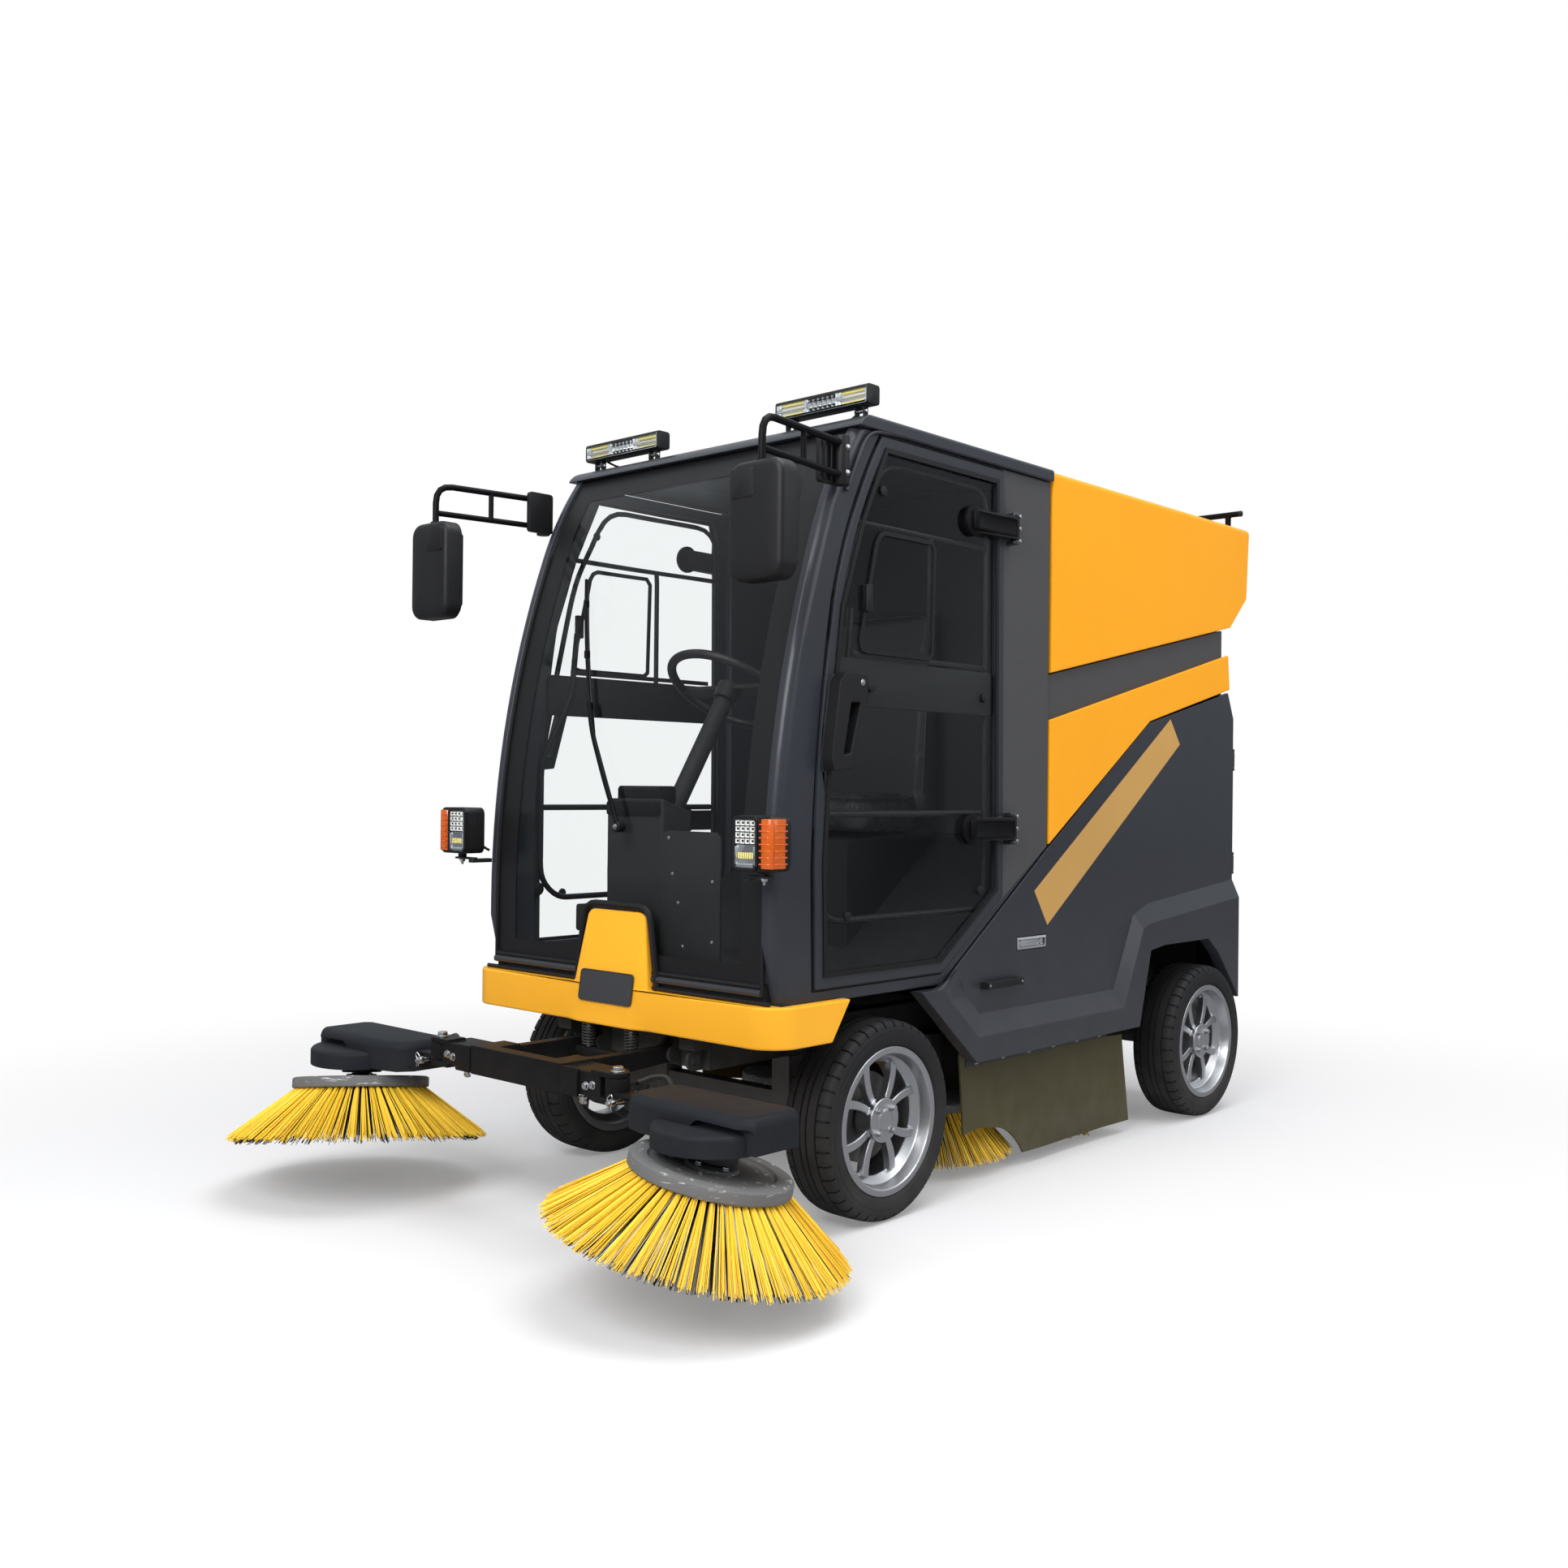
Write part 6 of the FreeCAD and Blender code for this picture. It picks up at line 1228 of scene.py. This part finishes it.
for number in range(3):
    y = -0.288 + 0.022 * number
    mirror_parts += parts((plastic_black, tile, at(0.6215, y, 2.022), at(0.63, y + 0.007, 2.138),
        "x", 0.003))
arm_low_z, arm_high_z = 2.041, 2.127
mirror_parts += [painted(p, gloss_black) for p in (tube([at(0.634, -0.224, arm_high_z),
    at(0.69, -0.597, arm_high_z), at(0.69, -0.597, 1.99)], 0.0098, 0.055, 4),
    tube([at(0.634, -0.224, arm_low_z), at(0.69, -0.59, arm_low_z)], 0.009, 0, 4),
    tube([at(0.661, -0.4105, arm_low_z), at(0.661, -0.4105, arm_high_z)], 0.008, 0, 4),
    disc(at(0.69, -0.597, 2.006), (0, 0, 1), 0.016, 0.014, 24, 0.003))]
for z in (2.046, 2.114):
    mirror_parts += parts((steel, bolt, at(0.6525, -0.224, z), (1, 0, 0), 0.006))
heads = both("mirror_shapes", mirror_parts)
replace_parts(heads, "mirrors")
finish_piece(heads, plastic_black, "mirrors", 35.0)
pane = tile(at(0.606, -0.5625, 1.722), at(0.774, -0.5575, 2.0), "y", 0.034, 0.0008, 6)
panes = both("mirror_panes", [painted(pane, mirror_silver)])
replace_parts(panes, "mirror_glasses")
finish_piece(panes, mirror_silver, "mirror_glasses")

# ---- Wiper: two thin arms from one hub carry a long blade that follows the windscreen's
# curve. A washer hose runs to the hub.
reach_z = [1.358 + 0.479 * step / 6 for step in range(7)]
blade_line = [(-0.157 - 0.172 * step / 6, z) for step, z in enumerate(reach_z)]
wiper_parts = parts((seal_black, tube, [at(x, screen_y(z) - 0.0075, z) for x, z in blade_line],
    0.0038), (gloss_black, tube, [at(x, screen_y(z) - 0.0165, z) for x, z in blade_line], 0.0042))
for x, z in (blade_line[1], blade_line[3], blade_line[5]):
    wiper_parts += parts((gloss_black, tile, at(x - 0.007, screen_y(z) - 0.02, z - 0.012),
        at(x + 0.007, screen_y(z) - 0.007, z + 0.012), "y", 0.003))
hub_z = 1.088
for x, foot in ((0.0, 0.012), (0.013, -0.01)):
    wiper_parts += parts((gloss_black, tube, [at(x, screen_y(hub_z) - 0.024, hub_z + foot),
        at(x * 0.6 - 0.062, screen_y(1.22) - 0.03, 1.215), at(x * 0.4 - 0.155,
        screen_y(1.36) - 0.021, 1.362), at(x * 0.3 - 0.19, screen_y(1.45) - 0.02, 1.452)], 0.0055,
        0.05))
wiper_parts += parts((plastic_black, disc, at(0.0, screen_y(hub_z) - 0.014, hub_z), (0, -1, 0),
    0.0155, 0.028, 24, 0.002), (steel, bolt, at(0.0, screen_y(hub_z) - 0.028, hub_z), (0, -1, 0),
    0.006), (hose_black, tube, [at(-0.012, screen_y(1.13) - 0.022, 1.13),
    at(-0.03, screen_y(1.05) - 0.01, 1.075), at(-0.006, -0.446, 1.073), at(0.012, -0.446, 1.078)],
    0.0022, 0.02))
wiper = join("wiper_shape", wiper_parts)
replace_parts(wiper, "wiper")
finish_piece(wiper, gloss_black, "wiper", 35.0)

# ---- Body shell: a folded steel deck that slopes back under the hopper, its sides turned
# down. A yellow fairing closes each side.
hopper_yellow = coating("hopper_yellow", (0.93, 0.38, 0.008), 0.36, coat=0.05, drift=0.1, dust=0.1,
    dust_top=1.6, grain=900.0, bump=0.012, edge=0.004, shine=0.15)
rounded("body_shell", band_grey, width=0.003)
rounded("side_fairings", hopper_yellow, width=0.004, segments=3)

# ---- Side flaps: a sheet of olive plastic that hangs behind each side door and sags into
# shallow waves. A steel strip with six bolts holds its top edge.
olive = coating("olive_sheet", (0.062, 0.053, 0.018), 0.36, drift=0.9, dust=0.25, dust_top=0.5,
    grain=60.0, bump=0.06, edge=0.0, shine=0.15)
feed(olive.node_tree.nodes["Principled BSDF"], {"Transmission Weight": 0.08})
flap_low, flap_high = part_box("side_flaps")
flap = rounded("side_flaps", olive, width=0.0)
pick(flap)
mode("EDIT")
for step in range(1, 28):
    bpy.ops.mesh.select_all(action="SELECT")
    bpy.ops.mesh.bisect(plane_co=(0, flap_low.y + (flap_high.y - flap_low.y) * step / 28, 0),
        plane_no=(0, 1, 0))
for step in range(1, 10):
    bpy.ops.mesh.select_all(action="SELECT")
    bpy.ops.mesh.bisect(plane_co=(0, 0, flap_low.z + (flap_high.z - flap_low.z) * step / 10),
        plane_no=(0, 0, 1))
mode("OBJECT")
for vertex in flap.data.vertices:
    y, hang = vertex.co.y - axle_y, (flap_high.z - vertex.co.z) / (flap_high.z - flap_low.z)
    fold = math.exp(-((y - 0.63 - 0.05 * hang) / 0.03) ** 2)
    wave = 0.0035 * math.sin(11.0 * y + 1.2 * hang) + 0.005 * fold - 0.0015
    vertex.co.x += math.copysign(wave * hang, vertex.co.x)
strip = parts((frame_black, tile, at(0.5617, 0.47, 0.356), at(0.5647, 1.3, 0.38), "x", 0.0))
for number in range(6):
    strip += parts((steel, bolt, at(0.5647, 0.52 + 0.146 * number, 0.368), (1, 0, 0), 0.0065))
finish_piece(both("flap_strips", strip), frame_black, "side_flaps")

# ---- Hopper: a folded bin in yellow enamel. Its black top rail has capped ends, and two
# pull handles stand on its hatch.
hopper = rounded("hopper", hopper_yellow, width=0.004, segments=3)
hopper_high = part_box("hopper")[1]
hopper.data.materials.append(gloss_black)
for face in hopper.data.polygons:
    if face.center.z > hopper_high.z - 0.064:
        face.material_index = 1
hatch_low, hatch_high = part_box("hopper_hatch")
caps = [painted(disc((x, hopper_high.y - 0.06, hopper_high.z - 0.011), (1, 0, 0), 0.0115, 0.014, 24,
    0.004), plastic_black) for x in (-0.6, 0.6)]
finish_piece(join("rail_caps", caps), plastic_black, "hopper")
rounded("hopper_hatch", hopper_yellow, width=0.004, segments=3)
lean = 0.015 / (hatch_high.z - hatch_low.z)
handles = []
for x in (-0.3, 0.3):
    face_y = hatch_low.y + 0.018 + lean * 0.045
    handles += parts((gloss_black, tube, [(x - 0.055, face_y - 0.002, hatch_low.z + 0.045),
        (x - 0.055, face_y + 0.011, hatch_low.z + 0.045), (x + 0.055, face_y + 0.011,
        hatch_low.z + 0.045), (x + 0.055, face_y - 0.002, hatch_low.z + 0.045)], 0.0045, 0.01))
    for foot in (-0.055, 0.055):
        handles += parts((gloss_black, disc, (x + foot, face_y, hatch_low.z + 0.045), (0, 1, 0),
            0.011, 0.003, 20))
finish_piece(join("hatch_handles", handles), gloss_black, "hopper_hatch")

# ---- Side doors: a pressed panel in the cab's coat, its skirt standing out below a facet. It
# has a sunk zinc latch, a black pull grip and a plain tan stripe, with no words on it.
zinc = coating("zinc", (0.62, 0.63, 0.65), 0.3, metallic=0.9, dust=0.1, grain=300.0, bump=0.05,
    edge=0.001)
stripe_tan = coating("stripe_tan", (0.53, 0.3, 0.085), 0.34, coat=0.0, drift=0.25, dust=0.1,
    dust_top=1.4, grain=900.0, bump=0.02, edge=0)
for side, way in two_sides:
    name = "side_door_" + side
    door = rounded(name, cab_grey, width=0.002, angle=50.0, smooth=12.0)
    door.data.materials.append(plastic_black)
    for face in door.data.polygons:
        spot = face.center
        if abs(spot.x) > 0.6045 and 0.48 < spot.y - axle_y < 0.685 and 0.5975 < spot.z < 0.6225:
            face.material_index = 1
    plate = tile(at(0.5985, 0.6825, 0.7025), at(0.607, 0.8475, 0.7405), "x", 0.004, 0.001)
    press(plate, 0.0075, (-0.0055, 0, 0), 0, 0.9, True)
    lever = slab([at(0.6005, y, z) for y, z in ((0.693, 0.7215), (0.706, 0.731), (0.795, 0.731),
        (0.795, 0.712), (0.706, 0.712), (0.693, 0.7215))], (0.006, 0, 0))
    round_off(lever, 0.0012, 2)
    key = disc(at(0.604, 0.818, 0.7215), (1, 0, 0), 0.0085, 0.006, 24, 0.001)
    slit = tile(at(0.6068, 0.8173, 0.7165), at(0.6073, 0.8187, 0.7265), "x", 0, 0)
    stripe = slab([at(0.6052, y, z) for y, z in ((0.777, 0.884), (1.665, 1.466), (1.737, 1.377),
        (0.855, 0.771), (0.777, 0.884))], (0.0005, 0, 0))
    trims = [painted(p, zinc) for p in (plate, lever, key)]
    trims += [painted(slit, seal_black), painted(stripe, stripe_tan)]
    for y in (0.495, 0.669):
        trims += parts((steel, disc, at(0.6355, y, 0.61), (1, 0, 0), 0.0045, 0.002, 16, 0.0005))
    trim = join(name + "_trims", trims)
    moved(trim, way)
    finish_piece(trim, zinc, name, 35.0)

# ---- Rear panel: a folded wall with rows of pressed louvres over the battery. It has a bare
# number plate on its foot, and two round lamps and two reflectors on its corners. A black
# plate closes each corner behind the wheel.
rounded("rear_panel", cab_grey, width=0.003)
plate_pale = coating("plate_pale", (0.7, 0.71, 0.7), 0.4, dust=0.3, bump=0.02, edge=0.001)
lens_red = lens_plastic("lens_red", (0.62, 0.01, 0.008), 0.3)
lamp_low, lamp_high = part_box("tail_lamps")
panel_tail = lamp_low.y - 0.0003
hoods = []
for row in range(9):
    z = 0.96 + 0.044 * row
    back = -0.016 * min(1.0, (z - 0.868) / 0.388)
    for start in (-0.3158, 0.0758):
        hood = slab([(start, panel_tail + back + y, z + up)
            for y, up in ((-0.003, 0.022), (0.012, 0.001), (0.012, -0.001), (0.01, -0.001),
            (-0.003, 0.017), (-0.003, 0.022))], (0.24, 0, 0))
        hoods.append(painted(hood, cab_grey))
finish_piece(join("louvre_hoods", hoods), cab_grey, "rear_panel")
corners = parts((frame_black, tile, (0.45, panel_tail - 0.014, 0.43),
    (0.572, panel_tail - 0.008, 0.626), "y", 0.01))
finish_piece(both("corner_plates", corners), frame_black, "rear_panel")
rear_bits = parts((plate_pale, tile, (-0.22, panel_tail - 0.001, 0.47),
    (0.22, panel_tail + 0.003, 0.58), "y", 0.012, 0.0006))
for x in (-0.15, 0.15):
    rear_bits += parts((steel, bolt, (x, panel_tail + 0.003, 0.563), (0, 1, 0), 0.005))
for x in (-0.44, 0.44):
    rear_bits += parts((lens_red, tile, (x - 0.055, panel_tail - 0.001, 0.69),
        (x + 0.055, panel_tail + 0.006, 0.722), "y", 0.006, 0.001))
finish_piece(join("rear_fittings", rear_bits), plate_pale, "rear_panel")
lamp_y, lamp_z = lamp_low.y, (lamp_low.z + lamp_high.z) / 2
lamp_x = lamp_high.x - (lamp_high.z - lamp_low.z) / 2
tail = []
for finish, outline in (
        (plastic_black, ((0.0, 0.0), (0.055, 0.0), (0.055, 0.016), (0.053, 0.019), (0.049, 0.019),
            (0.048, 0.01), (0.0, 0.01))),
        (lens_red, ((0.0215, 0.011), (0.0475, 0.011), (0.0475, 0.021), (0.045, 0.0245),
            (0.04, 0.0262), (0.0385, 0.025), (0.037, 0.0268), (0.032, 0.028), (0.0305, 0.0268),
            (0.029, 0.0282), (0.0215, 0.0288), (0.0215, 0.011))),
        (lens_amber, ((0.0, 0.011), (0.0208, 0.011), (0.0208, 0.028), (0.015, 0.0293),
            (0.0, 0.0297)))):
    tail += parts((finish, lathe, [(lamp_x + r, lamp_y + y, lamp_z) for r, y in outline],
        (lamp_x, lamp_y, lamp_z), (0, 1, 0), 48))
tails = both("tail_lamp_shapes", tail)
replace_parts(tails, "tail_lamps")
finish_piece(tails, lens_red, "tail_lamps", 30.0)
